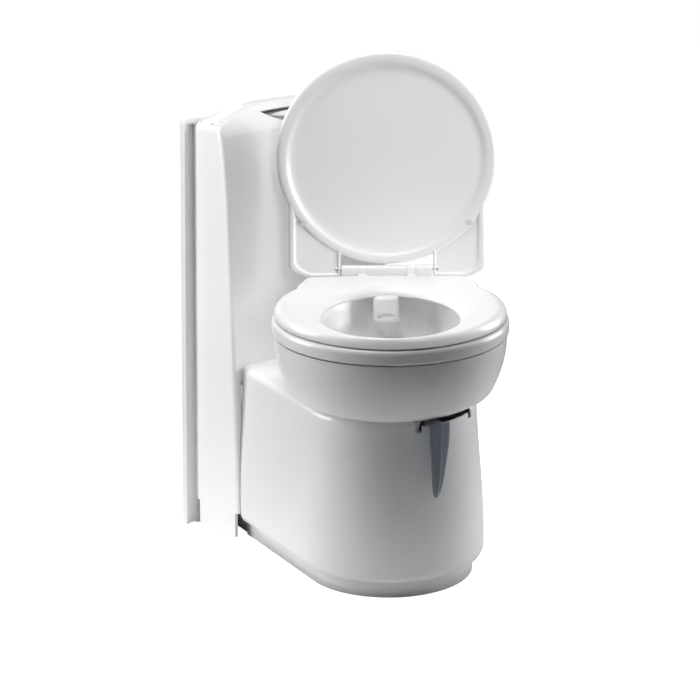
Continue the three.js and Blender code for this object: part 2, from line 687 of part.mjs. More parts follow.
function addCassette() {
  const cassette = new THREE.Group();
  const wells = (grow) => [-1, 1].map((side) => box(
    side * WHEEL_X - 10 - grow, side * WHEEL_X + 10 + grow + side, -23 - grow, 23 + grow, 0, 46 + grow));
  const channels = (grow) => [-1, 1].map((side) => box(
    side * 75 - 7 - grow, side * 75 + 7 + grow, 118 - grow, 400, 0, 19 + grow));
  const axleRun = (grow) => box(-130, 130, -6 - grow, 6 + grow, 0, 28 + grow);
  let inside = upright(cassettePlan(TANK_WALL, TANK_REAR), TANK_BOTTOM + TANK_WALL, TANK_TOP - TANK_WALL, 18);
  const hollows = (grow) => [...wells(grow), ...channels(grow), axleRun(grow)];
  for (const cut of hollows(TANK_WALL)) inside = inside.subtract(cut);
  let tank = upright(cassettePlan(0, TANK_REAR), TANK_BOTTOM, TANK_TOP, 18).subtract(inside);
  for (const cut of hollows(0)) tank = tank.subtract(cut);
  tank = tank.subtract(rod(DRAIN_RADIUS, 20, [0, 0, TANK_TOP], 'z', 32))
    .subtract(rod(8.4, 20, [BLADE_PIVOT.x, BLADE_PIVOT.y, TANK_TOP]))
    .subtract(rod(15, 20, [...SPOUT, TANK_TOP]))
    .subtract(rod(5, 20, [...VENT, TANK_TOP]));
  part('cassette_tank', tankGrey, tank, cassette);

  const neck = [[46, 191], [51.6, 191], [51.6, TANK_TOP + GAP]];
  const lip = [[59, TANK_TOP + GAP], [59, 203], [50, SEAL_TOP], [46, SEAL_TOP]];
  part('lip_seal', rubber, turned([...neck, ...lip, neck[0]], 24), cassette);
  for (const [name, side] of [['cover_rail_left', -1], ['cover_rail_right', 1]]) {
    const shape = outline([[64.5, 200.3], [69, 200.3], [69, 211], [60.5, 211], [60.5, 209.4], [64.5, 209.4]]
      .map(([x, z]) => [side * x, z]));
    part(name, tankGrey, alongY(shape, -62, 202), cassette);
  }
  const cover = box(-64, 64, 70, 200, 205, 209).add(box(-20, 20, 192, 198, 208, 214));
  part('sliding_cover', tankGrey, cover, cassette);

  const grip = box(-55, 55, 356, 364, 120, 140).add(box(-55, -43, TANK_REAR + GAP, 357, 120, 140))
    .add(box(43, 55, TANK_REAR + GAP, 357, 120, 140));
  part('carry_handle', slate, grip, cassette);

  const towBar = box(-82, 82, 340, 352, 9, 17)
    .add(box(-79, -71, 125, 345, 9, 17))
    .add(box(71, 79, 125, 345, 9, 17));
  part('tow_handle', slate, towBar, cassette);

  part('wheel_axle', steel, rod(3.5, 2 * TANK_HALF - 6, [0, 0, WHEEL_Z], 'x', 16), cassette);
  for (const [name, x] of [['wheel_left', -WHEEL_X], ['wheel_right', WHEEL_X]]) {
    const bore = rod(3.7, 30, [x, 0, WHEEL_Z], 'x', 16);
    part(name, rubber, rod(WHEEL_RADIUS, 11, [x, 0, WHEEL_Z], 'x').subtract(bore), cassette);
  }

  const [px, py] = [BLADE_PIVOT.x, BLADE_PIVOT.y];
  const arm = outline([[0, -14], [0, 14], [px - 4, py + 12], [px + 6, py - 12]].reverse());
  const blade = rod(53, 4.2, [0, 0, 188.5], 'z', 32).add(upright(arm, 186.4, 190.6))
    .add(rod(12, 9, [px, py, 186]))
    .add(rod(8, 24, [px, py, 198]))
    .add(box(px - 3.7, px + 3.7, py - 12, py + 12, 209.5, 218));
  part('blade', hoseGrey, blade, cassette);

  const [sx, sy] = SPOUT;
  const spout = rod(22, 32, [sx, sy, 216.5]).add(rod(15, 112, [sx - 56, sy, 219], 'x'))
    .subtract(rod(11, 118, [sx - 60, sy, 219], 'x'))
    .subtract(rod(14, 25, [sx, sy, 212]));
  part('pour_spout', slate, spout, cassette);
  const cap = rod(19, 14, [sx - 108.3, sy, 219], 'x').subtract(rod(15.4, 14, [sx - 105.3, sy, 219], 'x'));
  part('spout_cap', capOrange, cap, cassette);

  const vent = rod(8, 5, [...VENT, 206.5], 'z', 16).add(rod(4.6, 14, [...VENT, 199], 'z', 16));
  part('vent_button', capOrange, vent, cassette);
  const float = rod(15, 26, [-96, 250, 172.5], 'x', 16).add(box(-99, -93, 160, 245, 171, 175))
    .add(rod(5, 8, [-96, 160, 173], 'x', 12));
  part('level_float', capOrange, float, cassette);
  return cassette;
}

function addGuides() {
  for (const [name, side] of [['guide_rail_left', -1], ['guide_rail_right', 1]]) {
    const [x0, x1] = side > 0 ? [122.5, 126.5] : [-126.5, -122.5];
    part(name, tankGrey, box(x0, x1, 30, 330, PAN_TOP + GAP, 40), consoleGroup);
  }
  const post = box(128, 132, 342.3, 352, PAN_TOP + GAP, 30).add(rod(3, 10, [142, 347.2, 60], 'y', 16))
    .add(box(128, 150, 349.5, 352, 20, 70));
  part('latch_post', tankGrey, post, consoleGroup);
  const latch = rod(7, 5, [142, 345, 60], 'y', 16).add(box(138, 146, 342.5, 347.5, 60, 92))
    .subtract(rod(3.1, 20, [142, 345, 60], 'y', 16));
  part('cassette_latch', capOrange, latch, consoleGroup);
}

addControlPanel();
addFlushTank();
addPump();
addMechanism();
addGuides();
addLever(consoleGroup);
addPinion(consoleGroup);
addBowl();
addRim();
addNozzle();
addHinge();
addSeat();
addLid();

const toilet = new THREE.Group();
toilet.add(consoleGroup, bowlGroup, addCassette());

export default toilet;
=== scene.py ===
import json
import math

import bmesh
import bpy
from mathutils import Matrix, Vector

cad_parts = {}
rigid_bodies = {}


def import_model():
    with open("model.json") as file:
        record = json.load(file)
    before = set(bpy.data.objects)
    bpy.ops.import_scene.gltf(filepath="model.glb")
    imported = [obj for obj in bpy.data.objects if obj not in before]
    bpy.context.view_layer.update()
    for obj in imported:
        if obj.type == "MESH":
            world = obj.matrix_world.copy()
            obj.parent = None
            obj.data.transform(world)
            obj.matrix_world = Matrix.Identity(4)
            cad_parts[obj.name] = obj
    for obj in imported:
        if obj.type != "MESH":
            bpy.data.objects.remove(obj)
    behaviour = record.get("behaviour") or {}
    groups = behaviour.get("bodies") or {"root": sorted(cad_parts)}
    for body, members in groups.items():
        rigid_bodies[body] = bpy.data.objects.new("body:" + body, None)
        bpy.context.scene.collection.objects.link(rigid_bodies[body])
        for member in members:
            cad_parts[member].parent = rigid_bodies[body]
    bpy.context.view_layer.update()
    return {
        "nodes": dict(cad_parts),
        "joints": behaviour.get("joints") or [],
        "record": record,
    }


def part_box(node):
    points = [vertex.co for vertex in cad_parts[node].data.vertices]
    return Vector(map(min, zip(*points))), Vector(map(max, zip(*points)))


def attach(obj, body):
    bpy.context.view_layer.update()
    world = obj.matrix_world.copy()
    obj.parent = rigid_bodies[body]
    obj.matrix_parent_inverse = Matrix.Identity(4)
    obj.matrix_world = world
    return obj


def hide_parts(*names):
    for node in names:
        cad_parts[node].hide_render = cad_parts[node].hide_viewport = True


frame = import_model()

NODES = frame["nodes"]
JOINTS = {joint["name"]: joint for joint in frame["joints"]}
MM = 0.001


# ---------- places from the frame, and shared sizes ----------

def low(node):
    """The lower corner of a CAD node's box."""
    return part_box(node)[0]


def high(node):
    """The upper corner of a CAD node's box."""
    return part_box(node)[1]


HINGE = Vector(JOINTS["lid_hinge"]["pos_m"])
HINGE_AXIS = Vector(JOINTS["lid_hinge"]["axis"])
BOWL_TURN = math.atan2(-HINGE_AXIS.y, -HINGE_AXIS.x)
LID_OPEN = math.radians(-JOINTS["lid_hinge"]["range_deg"][0])
HINGE_REACH = HINGE.to_2d().length
BOWL_FRAME = Matrix.Rotation(BOWL_TURN, 4, "Z")
LID_FRAME = Matrix.Translation(HINGE) @ BOWL_FRAME @ Matrix.Rotation(-LID_OPEN, 4, "X")

PLATE_BACK = high("back_plate").y
PLATE_FRONT = low("back_plate").y
PLATE_HALF = high("back_plate").x
TOP = high("back_plate").z
COLUMN_FOOT = low("column_shell").z
COLUMN_REAR = high("column_shell").y
COLUMN_HALF = high("column_shell").x
BASE_TOP = high("base_shell").z
PLINTH_HALF = high("base_plinth").x
PLINTH_CENTRE_Y = low("base_plinth").y + PLINTH_HALF
RIM_HIGH = high("rim_ring").z
SEAT_TOP = 445 * MM
WALL = 3 * MM                            # thickness of every moulded skin
GAP = 0.3 * MM                           # play between two mouldings


# ---------- curves and meshes ----------

def curve_through(points, steps, closed=False):
    """A Catmull-Rom curve through points of any dimension, as a list of tuples."""
    n = len(points)
    out = []
    spans = n if closed else n - 1
    for i in range(spans):
        if closed:
            quad = [points[(i + k) % n] for k in (-1, 0, 1, 2)]
        else:
            quad = [points[min(max(i + k, 0), n - 1)] for k in (-1, 0, 1, 2)]
        for s in range(steps):
            t = s / steps
            out.append(tuple(
                0.5 * (2 * b + (c - a) * t + (2 * a - 5 * b + 4 * c - d) * t * t
                       + (3 * b - a - 3 * c + d) * t ** 3)
                for a, b, c, d in zip(*quad)))
    if not closed:
        out.append(tuple(points[-1]))
    return out


def arc(cx, cy, rx, ry, start, end, steps):
    """Points on an elliptical arc, angles in degrees."""
    return [(cx + rx * math.cos(math.radians(start + (end - start) * i / steps)),
             cy + ry * math.sin(math.radians(start + (end - start) * i / steps)))
            for i in range(steps + 1)]


def bend(start, corner, end, steps):
    """A soft corner: a curve from start to end that leans towards corner."""
    return [tuple(start * (1 - t) ** 2 + corner * 2 * t * (1 - t) + end * t * t)
            for t in (k / steps for k in range(steps + 1))]


def rounded(points, radii, steps):
    """A closed outline with a bend in place of each corner; a radius of 0 leaves it sharp."""
    n = len(points)
    out = []
    for i, radius in enumerate(radii):
        before, here, after = (Vector(points[(i + k) % n]) for k in (-1, 0, 1))
        if radius <= 0:
            out.append(tuple(here))
            continue
        start = here + (before - here).normalized() * min(radius, (before - here).length * 0.5)
        end = here + (after - here).normalized() * min(radius, (after - here).length * 0.5)
        out += bend(start, here, end, steps)
    return out


def resample(points, count):
    """The same closed outline with count points at even spacing."""
    pts = [Vector(p) for p in points + points[:1]]
    lengths = [0.0]
    for a, b in zip(pts, pts[1:]):
        lengths.append(lengths[-1] + (b - a).length)
    out, i = [], 0
    for k in range(count):
        target = lengths[-1] * k / count
        while i < len(lengths) - 2 and lengths[i + 1] < target:
            i += 1
        step = lengths[i + 1] - lengths[i]
        t = (target - lengths[i]) / step if step > 1e-12 else 0
        out.append(tuple(pts[i].lerp(pts[i + 1], t)))
    return out


def divided(outline, step):
    """The same closed outline with points no further apart than step."""
    points = []
    for (x0, y0), (x1, y1) in zip(outline, outline[1:] + outline[:1]):
        parts = max(1, math.ceil(math.hypot(x1 - x0, y1 - y0) / step))
        points += [(x0 + (x1 - x0) * k / parts, y0 + (y1 - y0) * k / parts) for k in range(parts)]
    return points


def mirrored(points):
    """The same open outline on the other side of the middle plane, in the opposite order."""
    return [(-x, y) for x, y in points[::-1]]


def level(outline, z):
    """An (x, y) outline lying at height z."""
    return [(x, y, z) for x, y in outline]


def upright(x, outline):
    """A (y, z) outline standing at x."""
    return [(x, y, z) for y, z in outline]


def circle(radius, z, segments):
    """A level circle round the Z axis."""
    return [(radius * math.cos(2 * math.pi * k / segments), radius * math.sin(2 * math.pi * k / segments), z)
            for k in range(segments)]


def inset(points, distance, closed=True):
    """A counter-clockwise outline drawn in by distance, along the normal at each point."""
    n = len(points)
    out = []
    for i in range(n):
        before = Vector(points[(i - 1) % n] if closed or i > 0 else points[i])
        after = Vector(points[(i + 1) % n] if closed or i < n - 1 else points[i])
        along = (after - before)
        along = along.normalized() if along.length > 1e-9 else Vector((1, 0))
        out.append((points[i][0] - along.y * distance, points[i][1] + along.x * distance))
    return out


def new_object(name, data, smooth_angle, matrix=None):
    """Puts a mesh into the scene, shaded smooth."""
    if matrix is not None:
        data.transform(matrix)
    obj = bpy.data.objects.new(name, data)
    bpy.context.scene.collection.objects.link(obj)
    shade(obj, smooth_angle)
    return obj


def mesh_object(name, verts, faces, smooth_angle=40, matrix=None):
    """A new object from vertices and faces, merged and facing out."""
    data = bpy.data.meshes.new(name)
    data.from_pydata([tuple(v) for v in verts], [], faces)
    made = bmesh.new()
    made.from_mesh(data)
    bmesh.ops.remove_doubles(made, verts=made.verts, dist=2e-6)
    bmesh.ops.dissolve_degenerate(made, edges=made.edges, dist=1e-6)
    bmesh.ops.recalc_face_normals(made, faces=made.faces)
    made.to_mesh(data)
    made.free()
    return new_object(name, data, smooth_angle, matrix)


def shade(obj, angle):
    """Smooth shading, with edges sharper than angle kept crisp."""
    data = obj.data
    for polygon in data.polygons:
        polygon.use_smooth = True
    data.set_sharp_from_angle(angle=math.radians(angle))


def grid_faces(rows, columns, wrap_rows=False, wrap_columns=True):
    """Quads between rows of points, every row with the same number of columns."""
    faces = []
    for r in range(rows if wrap_rows else rows - 1):
        for c in range(columns if wrap_columns else columns - 1):
            a = r * columns + c
            b = r * columns + (c + 1) % columns
            up = ((r + 1) % rows) * columns
            faces.append((a, b, up + (c + 1) % columns, up + c))
    return faces


def loft(name, rings, wrap=False, smooth_angle=40, matrix=None):
    """A solid through rings of 3-D points, all with the same number of points.

    Both ends are capped; with wrap the last ring is joined to the first instead.
    """
    columns = len(rings[0])
    verts = [p for ring in rings for p in ring]
    faces = grid_faces(len(rings), columns, wrap_rows=wrap)
    if not wrap:
        last = (len(rings) - 1) * columns
        faces += [tuple(range(columns))[::-1], tuple(range(last, last + columns))]
    return mesh_object(name, verts, faces, smooth_angle, matrix)


def open_skin(name, rings, smooth_angle=50):
    """A skin through open outlines, without ends."""
    verts = [p for ring in rings for p in ring]
    return mesh_object(name, verts, grid_faces(len(rings), len(rings[0]), wrap_columns=False), smooth_angle)


def revolve(name, profile):
    """A closed (radius, z) profile turned about the Z axis."""
    return loft(name, [circle(r, z, 128) for r, z in profile], wrap=True)


def plate(name, outline, z0, z1, bevel, matrix=None):
    """An outline standing from z0 to z1, with rounded upper and lower edges."""
    quarter = [math.pi / 2 * k / 4 for k in range(5)]
    rings = [(bevel * (1 - math.sin(a)), z0 + bevel * (1 - math.cos(a))) for a in quarter]
    rings += [(bevel * (1 - math.cos(a)), z1 - bevel * (1 - math.sin(a))) for a in quarter]
    return loft(name, [level(inset(outline, d), z) for d, z in rings], smooth_angle=35, matrix=matrix)


def apply_modifier(obj, kind, **settings):
    """Works one modifier into the mesh."""
    modifier = obj.modifiers.new("work", kind)
    for key, value in settings.items():
        setattr(modifier, key, value)
    with bpy.context.temp_override(object=obj, active_object=obj, selected_objects=[obj]):
        bpy.ops.object.modifier_apply(modifier=modifier.name)


def cut(obj, tool, smooth_angle=35, operation="DIFFERENCE"):
    """Takes a tool object out of obj, or joins it on, and removes the tool."""
    bpy.context.view_layer.update()
    apply_modifier(obj, "BOOLEAN", operation=operation, object=tool, solver="EXACT")
    bpy.data.objects.remove(tool)
    shade(obj, smooth_angle)


def block(name, x0, x1, y0, y1, z0, z1, radius=0):
    """A box with rounded edges."""
    made = bmesh.new()
    bmesh.ops.create_cube(made, size=1)
    for v in made.verts:
        v.co = Vector((x0 if v.co.x < 0 else x1, y0 if v.co.y < 0 else y1, z0 if v.co.z < 0 else z1))
    if radius > 0:
        bmesh.ops.bevel(made, geom=made.edges[:], offset=radius, segments=4, profile=0.5, affect="EDGES")
    data = bpy.data.meshes.new(name)
    made.to_mesh(data)
    made.free()
    return new_object(name, data, 35)


def thicken(obj):
    """Gives a skin a wall, inside its faces."""
    apply_modifier(obj, "SOLIDIFY", thickness=WALL, offset=-1, use_even_offset=False)


# ---------- materials ----------

GRAIN_DEPTH = 0.2 * MM                   # height of the fine surface texture


class Nodes:
    """A short way to wire a material."""

    def __init__(self, name):
        self.material = bpy.data.materials.new(name)
        self.material.use_nodes = True
        self.tree = self.material.node_tree
        self.shader = self.tree.nodes["Principled BSDF"]

    def add(self, kind, **settings):
        """A new node; each setting is one of its inputs or, failing that, a property."""
        node = self.tree.nodes.new(kind)
        for key, value in settings.items():
            if key in node.inputs:
                node.inputs[key].default_value = value
            else:
                setattr(node, key, value)
        return node

    def wire(self, source, target):
        self.tree.links.new(source, target)

    def ramp(self, source, stops):
        """Colours from (position, colour) stops, driven by source."""
        ramp = self.add("ShaderNodeValToRGB")
        elements = ramp.color_ramp.elements
        elements[0].position, elements[0].color = stops[0][0], (*stops[0][1], 1)
        elements[1].position, elements[1].color = stops[-1][0], (*stops[-1][1], 1)
        for position, colour in stops[1:-1]:
            elements.new(position).color = (*colour, 1)
        self.wire(source, ramp.inputs["Fac"])
        return ramp.outputs["Color"]

    def noise(self, scale, detail):
        place = self.add("ShaderNodeTexCoord")
        noise = self.add("ShaderNodeTexNoise", Scale=scale, Detail=detail, Roughness=0.5)
        self.wire(place.outputs["Object"], noise.inputs["Vector"])
        return noise.outputs["Fac"]

    def bump(self, height, strength):
        bump = self.add("ShaderNodeBump", Strength=strength, Distance=GRAIN_DEPTH)
        self.wire(height, bump.inputs["Height"])
        self.wire(bump.outputs["Normal"], self.shader.inputs["Normal"])


def scaled(colour, factor):
    return tuple(min(1.0, c * factor) for c in colour)


def moulded(name, colour, roughness, grain_scale=900.0, grain=0.03, spread=0.015, coat=0.0):
    """Moulded plastic: faint tone drift, uneven gloss, and a fine skin texture."""
    n = Nodes(name)
    drift = n.noise(6.0, 2.0)
    n.wire(n.ramp(drift, [(0.3, scaled(colour, 1 - spread)), (0.7, scaled(colour, 1 + spread))]),
           n.shader.inputs["Base Color"])
    dull, shiny = (roughness * 1.12,) * 3, (roughness * 0.9,) * 3
    n.wire(n.ramp(n.noise(22.0, 1.0), [(0.3, dull), (0.7, shiny)]), n.shader.inputs["Roughness"])
    n.bump(n.noise(grain_scale, 2.0), grain)
    n.shader.inputs["IOR"].default_value = 1.5
    n.shader.inputs["Coat Weight"].default_value = coat
    n.shader.inputs["Coat Roughness"].default_value = 0.12
    return n.material


def brushed(name, colour):
    """Steel with fine drawn lines."""
    n = Nodes(name)
    place = n.add("ShaderNodeTexCoord")
    stretch = n.add("ShaderNodeMapping")
    stretch.inputs["Scale"].default_value = (40, 900, 900)
    lines = n.add("ShaderNodeTexNoise", Scale=3.0, Detail=2.0)
    n.wire(place.outputs["Object"], stretch.inputs["Vector"])
    n.wire(stretch.outputs["Vector"], lines.inputs["Vector"])
    n.wire(n.ramp(lines.outputs["Fac"], [(0.3, scaled(colour, 0.85)), (0.7, colour)]),
           n.shader.inputs["Base Color"])
    n.shader.inputs["Metallic"].default_value = 1
    n.shader.inputs["Roughness"].default_value = 0.32
    n.bump(lines.outputs["Fac"], 0.05)
    return n.material


WHITE = moulded("white_plastic", (0.86, 0.865, 0.875), 0.34, coat=0.3)
BOWL_WHITE = moulded("bowl_plastic", (0.88, 0.885, 0.89), 0.32, coat=0.4)
# the basin's white is made brighter than the bowl's outside: painted light, standing in for the light that falls
# down into the bowl
BASIN_WHITE_PAINTED_LIGHT = moulded("basin_plastic_painted_light", (0.965, 0.965, 0.965), 0.33, coat=0.3)
SEAT_WHITE = moulded("seat_plastic", (0.9, 0.9, 0.9), 0.33, coat=0.35)
LID_PANEL = moulded("lid_panel_plastic", (0.91, 0.91, 0.91), 0.42, grain=0.06)
GREY = moulded("grey_plastic", (0.3, 0.31, 0.33), 0.4, grain=0.08)
SLATE = moulded("slate_plastic", (0.135, 0.155, 0.185), 0.33, grain=0.06, spread=0.05)
RUBBER = moulded("rubber", (0.025, 0.026, 0.028), 0.75, grain=0.2, spread=0.1)
TANK = moulded("tank_plastic", (0.42, 0.44, 0.46), 0.5, grain_scale=500.0, grain=0.12, spread=0.04)
ORANGE = moulded("orange_plastic", (0.62, 0.2, 0.02), 0.45, grain=0.08, spread=0.05)
HOSE = moulded("hose", (0.22, 0.23, 0.24), 0.6, grain=0.1, spread=0.05)
BUMPER = moulded("pale_rubber", (0.74, 0.74, 0.75), 0.6, grain=0.1)
BOARD = moulded("circuit_board", (0.03, 0.15, 0.06), 0.5, grain=0.1, spread=0.1)
LENS = moulded("clear_plastic", (0.35, 0.45, 0.52), 0.1, coat=0.5)
STEEL = brushed("steel", (0.62, 0.63, 0.65))

SLOT_MATERIAL = {
    "white_plastic": WHITE, "seat_plastic": SEAT_WHITE, "grey_plastic": GREY, "slate_plastic": SLATE,
    "rubber": RUBBER, "tank_plastic": TANK, "orange_plastic": ORANGE, "clear_plastic": LENS,
    "steel": STEEL, "hose": HOSE, "circuit_board": BOARD,
}
CREASE_DEGREES = 38                      # sharper edges of the CAD nodes stay crisp, or get their bevel


def dress(obj, material, body, slot, *replaced):
    """Gives a new piece its material and body, and hides the CAD nodes that it stands for; slot is not used."""
    obj.data.materials.clear()
    obj.data.materials.append(material)
    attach(obj, body)
    if replaced:
        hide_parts(*replaced)


# moulded edge radius of the CAD nodes that show, in mm
SOFT_EDGES = {
    "cassette_tank": 4, "flush_tank": 5, "carry_handle": 2, "tow_handle": 1.5, "mechanism_plate": 0.6,
    "sliding_cover": 1, "pump_body": 1.5, "pour_spout": 0.8, "fill_cap": 1.2, "spout_cap": 1.2,
    "wheel_left": 1.5, "wheel_right": 1.5, "latch_post": 1, "cassette_latch": 1, "guide_rail_left": 0.6,
    "guide_rail_right": 0.6, "cover_rail_left": 0.5, "cover_rail_right": 0.5, "vent_button": 0.5,
}


def dress_frame_nodes():
    """Every CAD node gets the material of its slot, and the ones listed above get soft edges."""
    for entry in frame["record"]["subparts"]:
        node = NODES[entry["node"]]
        node.data.materials.clear()
        bumper = "bumper" in entry["node"]
        node.data.materials.append(BUMPER if bumper else SLOT_MATERIAL[entry["material_slot"]])
        shade(node, CREASE_DEGREES)
        width = SOFT_EDGES.get(entry["node"])
        if width:
            edge = node.modifiers.new("soft_edges", "BEVEL")
            edge.width = width * MM
            edge.segments = 3
            edge.limit_method = "ANGLE"
            edge.angle_limit = math.radians(CREASE_DEGREES)
            edge.harden_normals = True


# ---------- column and back plate ----------

HOLLOW_Y = -260 * MM                     # axis of the column's hollow front face
COLUMN_LEAN = 0.0477                     # the front leans back by this share of the height
FRONT_FOOT_Y = 243 * MM
FLARE_START = 545 * MM                   # above this height the front curves back further
FLARE_SPAN = 153 * MM
FLARE = 8.6 * MM
WAIST_X = 154 * MM                       # half width of the column at WAIST_Y
WAIST_Y = 250 * MM
TAPER = 20 / 95
SIDE_TOP = 699 * MM                      # top of the column's outer edges
EDGE_RADIUS = 7 * MM
SIDE_STEPS = 12                          # parts of each side's outline, and rows of the top
STRAIGHT_TOP = 640 * MM                  # the wall's rings are level up to here
OUTLINE_TOP = 690 * MM                   # from here up the outline stays the same
LIP_PROUD = 3 * MM                       # the back plate's lip in front of its face
LIP_WIDTH = 7 * MM
GROOVE_TOP = 703 * MM
UP_FRONT = Matrix(((1, 0, 0, 0), (0, 0, -1, 0), (0, 1, 0, 0), (0, 0, 0, 1)))  # stands a plate up


def column_front_y(z):
    flare = max(0.0, (z - FLARE_START) / FLARE_SPAN)
    return FRONT_FOOT_Y + COLUMN_LEAN * z + FLARE * flare * flare


def column_side_x(y):
    return WAIST_X + (y - WAIST_Y) * TAPER


def column_outline(z):
    """Open outline at height z, from the rear left round the hollow front to the rear right."""
    y = column_front_y(z)
    x = column_side_x(y)
    radius = math.hypot(x, y - HOLLOW_Y)
    spread = math.degrees(math.asin(x / radius))
    front = arc(0, HOLLOW_Y, radius, radius, 90 + spread, 90 - spread, 40)
    rear = (-column_side_x(COLUMN_REAR), COLUMN_REAR)
    corner = soft_corner(rear, front[0], front[1], 9 * MM)
    side = [tuple(Vector(rear).lerp(Vector(corner[0]), k / SIDE_STEPS)) for k in range(SIDE_STEPS)]
    half = side + corner
    across = [p for p in front if abs(p[0]) < x - 10 * MM]
    return half + across + mirrored(half)


def soft_corner(before, here, after, reach):
    """A rounded corner at here, starting and ending at reach from it."""
    corner = Vector(here)
    start = corner + (Vector(before) - corner).normalized() * reach
    end = corner + (Vector(after) - corner).normalized() * reach
    return bend(start, corner, end, 8)


def arch_height(x):
    """Height of the arched top at x."""
    crown = TOP - 1 * MM
    return crown - (crown - SIDE_TOP) * min(1.0, abs(x) / COLUMN_HALF) ** 2.2


def crown_height(x, y):
    """Height of the column's top: an arch from side to side, falling to the hollow front edge."""
    edge, back = 568 * MM, 616 * MM          # distances from the hollow's axis
    t = min(1.0, max(0.0, (math.hypot(x, y - HOLLOW_Y) - edge) / (back - edge)))
    slope = 692 * MM + 38 * MM * math.sin(t * math.pi / 2) ** 0.9
    arch = arch_height(x)
    soft = 3 * MM
    blend = max(soft - abs(slope - arch), 0) / soft
    return min(slope, arch) - blend * blend * soft / 4


def build_column():
    heights = [COLUMN_FOOT + (STRAIGHT_TOP - COLUMN_FOOT) * k / 24 for k in range(25)]
    rings = [level(column_outline(z), z) for z in heights]
    top_outline = column_outline(OUTLINE_TOP)
    inward = inset(top_outline, EDGE_RADIUS, closed=False)
    edge_z = [crown_height(x, y) for x, y in top_outline]
    for k in range(1, 5):
        levels = [STRAIGHT_TOP + (z - EDGE_RADIUS - STRAIGHT_TOP) * k / 5 for z in edge_z]
        rings.append([(*column_outline(min(z, OUTLINE_TOP))[i], z) for i, z in enumerate(levels)])
    for k in range(6):
        a = math.pi / 2 * k / 5
        turn, drop = 1 - math.cos(a), EDGE_RADIUS * (1 - math.sin(a))
        ring = [(ox + (ix - ox) * turn, oy + (iy - oy) * turn)
                for (ox, oy), (ix, iy) in zip(top_outline, inward)]
        rings.append([(x, y, crown_height(x, y) - drop) for x, y in ring])
    verts = [p for ring in rings for p in ring]
    faces = grid_faces(len(rings), len(top_outline), wrap_columns=False)
    # the top: rows from the front edge to the back, each ending on the edges of the two sides
    front = inward[SIDE_STEPS:len(inward) - SIDE_STEPS]
    front_y, rear_y = front[0][1], inward[0][1]
    base = len(verts)
    for k in range(SIDE_STEPS + 1):
        left, right = inward[SIDE_STEPS - k], inward[k - SIDE_STEPS - 1]
        row = [(x * left[0] / front[0][0], y + (left[1] - front_y) * (rear_y - y) / (rear_y - front_y))
               for x, y in front]
        row[0], row[-1] = left, right
        verts += [(x, y, crown_height(x, y)) for x, y in row]
    faces += [tuple(base + i for i in face)
              for face in grid_faces(SIDE_STEPS + 1, len(front), wrap_columns=False)]
    shell = mesh_object("column_skin", verts, faces, 50)
    thicken(shell)
    cut(shell, block("gap", -137 * MM, 137 * MM, 230 * MM, 300 * MM, 0, 268 * MM), 50)
    opening = lens_outline(PANEL_HALF + 0.4 * MM, PANEL_RISE, PANEL_FALL, PANEL_MIDDLE)
    cut(shell, lens_solid("lens_cut", opening, -14 * MM, 30 * MM), 50)
    dress(shell, WHITE, "console", "white_plastic", "column_shell")


def plate_outline(half, foot, side_top, crown, corner):
    """Outline in (x, z) of the back plate: straight sides, soft corners, a shallow arch."""
    def arch_point(x):
        return (x, side_top + (crown - side_top) * (1 - abs(x / half) ** 2.4))
    arch = [arch_point(half * math.cos(math.radians(a))) for a in range(0, 181, 5)]
    peak = Vector(arch[0])
    right = bend(peak + Vector((0, -corner)), peak, Vector(arch_point(half - corner)), 6)
    across = [p for p in arch if abs(p[0]) < half - corner * 1.4]
    return [(-half, foot), (half, foot)] + right + across + mirrored(right)


def build_back_plate():
    """A moulded frame with a deep groove down each side, beside the column, and two windows."""
    full = plate_outline(PLATE_HALF, 0.0, 713 * MM, TOP, 14 * MM)
    depth = PLATE_BACK - PLATE_FRONT + LIP_PROUD
    to_back = Matrix.Translation((0, PLATE_BACK, 0)) @ UP_FRONT
    frame_plate = plate("back_frame", full, 0, depth, 1.6 * MM, to_back)
    for side in (-1, 1):
        edges = sorted((side * (PLATE_HALF - LIP_WIDTH), side * (column_side_x(COLUMN_REAR) + GAP)))
        groove = block("groove", *edges, 340 * MM, PLATE_FRONT + 2.5 * MM, -20 * MM, GROOVE_TOP, 0.8 * MM)
        cut(frame_plate, groove)
    cut(frame_plate, block("bay", -134 * MM, 134 * MM, 330 * MM, 390 * MM, -10 * MM, 240 * MM))
    cut(frame_plate, block("hatch", -150 * MM, 150 * MM, 330 * MM, 390 * MM, 262 * MM, 672 * MM, 8 * MM))
    dress(frame_plate, WHITE, "console", "white_plastic", "back_plate")


# ---------- control panel ----------

PRESS = Vector(JOINTS["flush_press"]["axis"])
PANEL_FRAME = (Matrix.Translation((0, 331 * MM, 715 * MM))
               @ Matrix.Rotation(math.atan2(PRESS.y, -PRESS.z), 4, "X"))
PANEL_HALF = high("control_panel").x
PANEL_RISE = 4.3 * MM                    # the lens above and below the line through its tips
PANEL_FALL = 24.3 * MM
PANEL_MIDDLE = -5 * MM
BUTTON_HALF = high("flush_button").x
BUTTON_REACH = 6.5 * MM
BUTTON_MIDDLE = -10.5 * MM


def lens_outline(half, rise, fall, middle):
    """A pointed oval: two shallow curves meeting at the tips, which lie at middle."""
    steps = 24
    lower = [(-half + 2 * half * k / steps, -fall * (1 - (2 * k / steps - 1) ** 2) + middle)
             for k in range(steps)]
    upper = [(half - 2 * half * k / steps, rise * (1 - (2 * k / steps - 1) ** 2) + middle)
             for k in range(steps)]
    return lower + upper


def lens_solid(name, outline, z0, z1, bevel=0.0001 * MM):
    """A plate in the panel's own tilted frame."""
    return plate(name, outline, z0, z1, bevel, PANEL_FRAME)


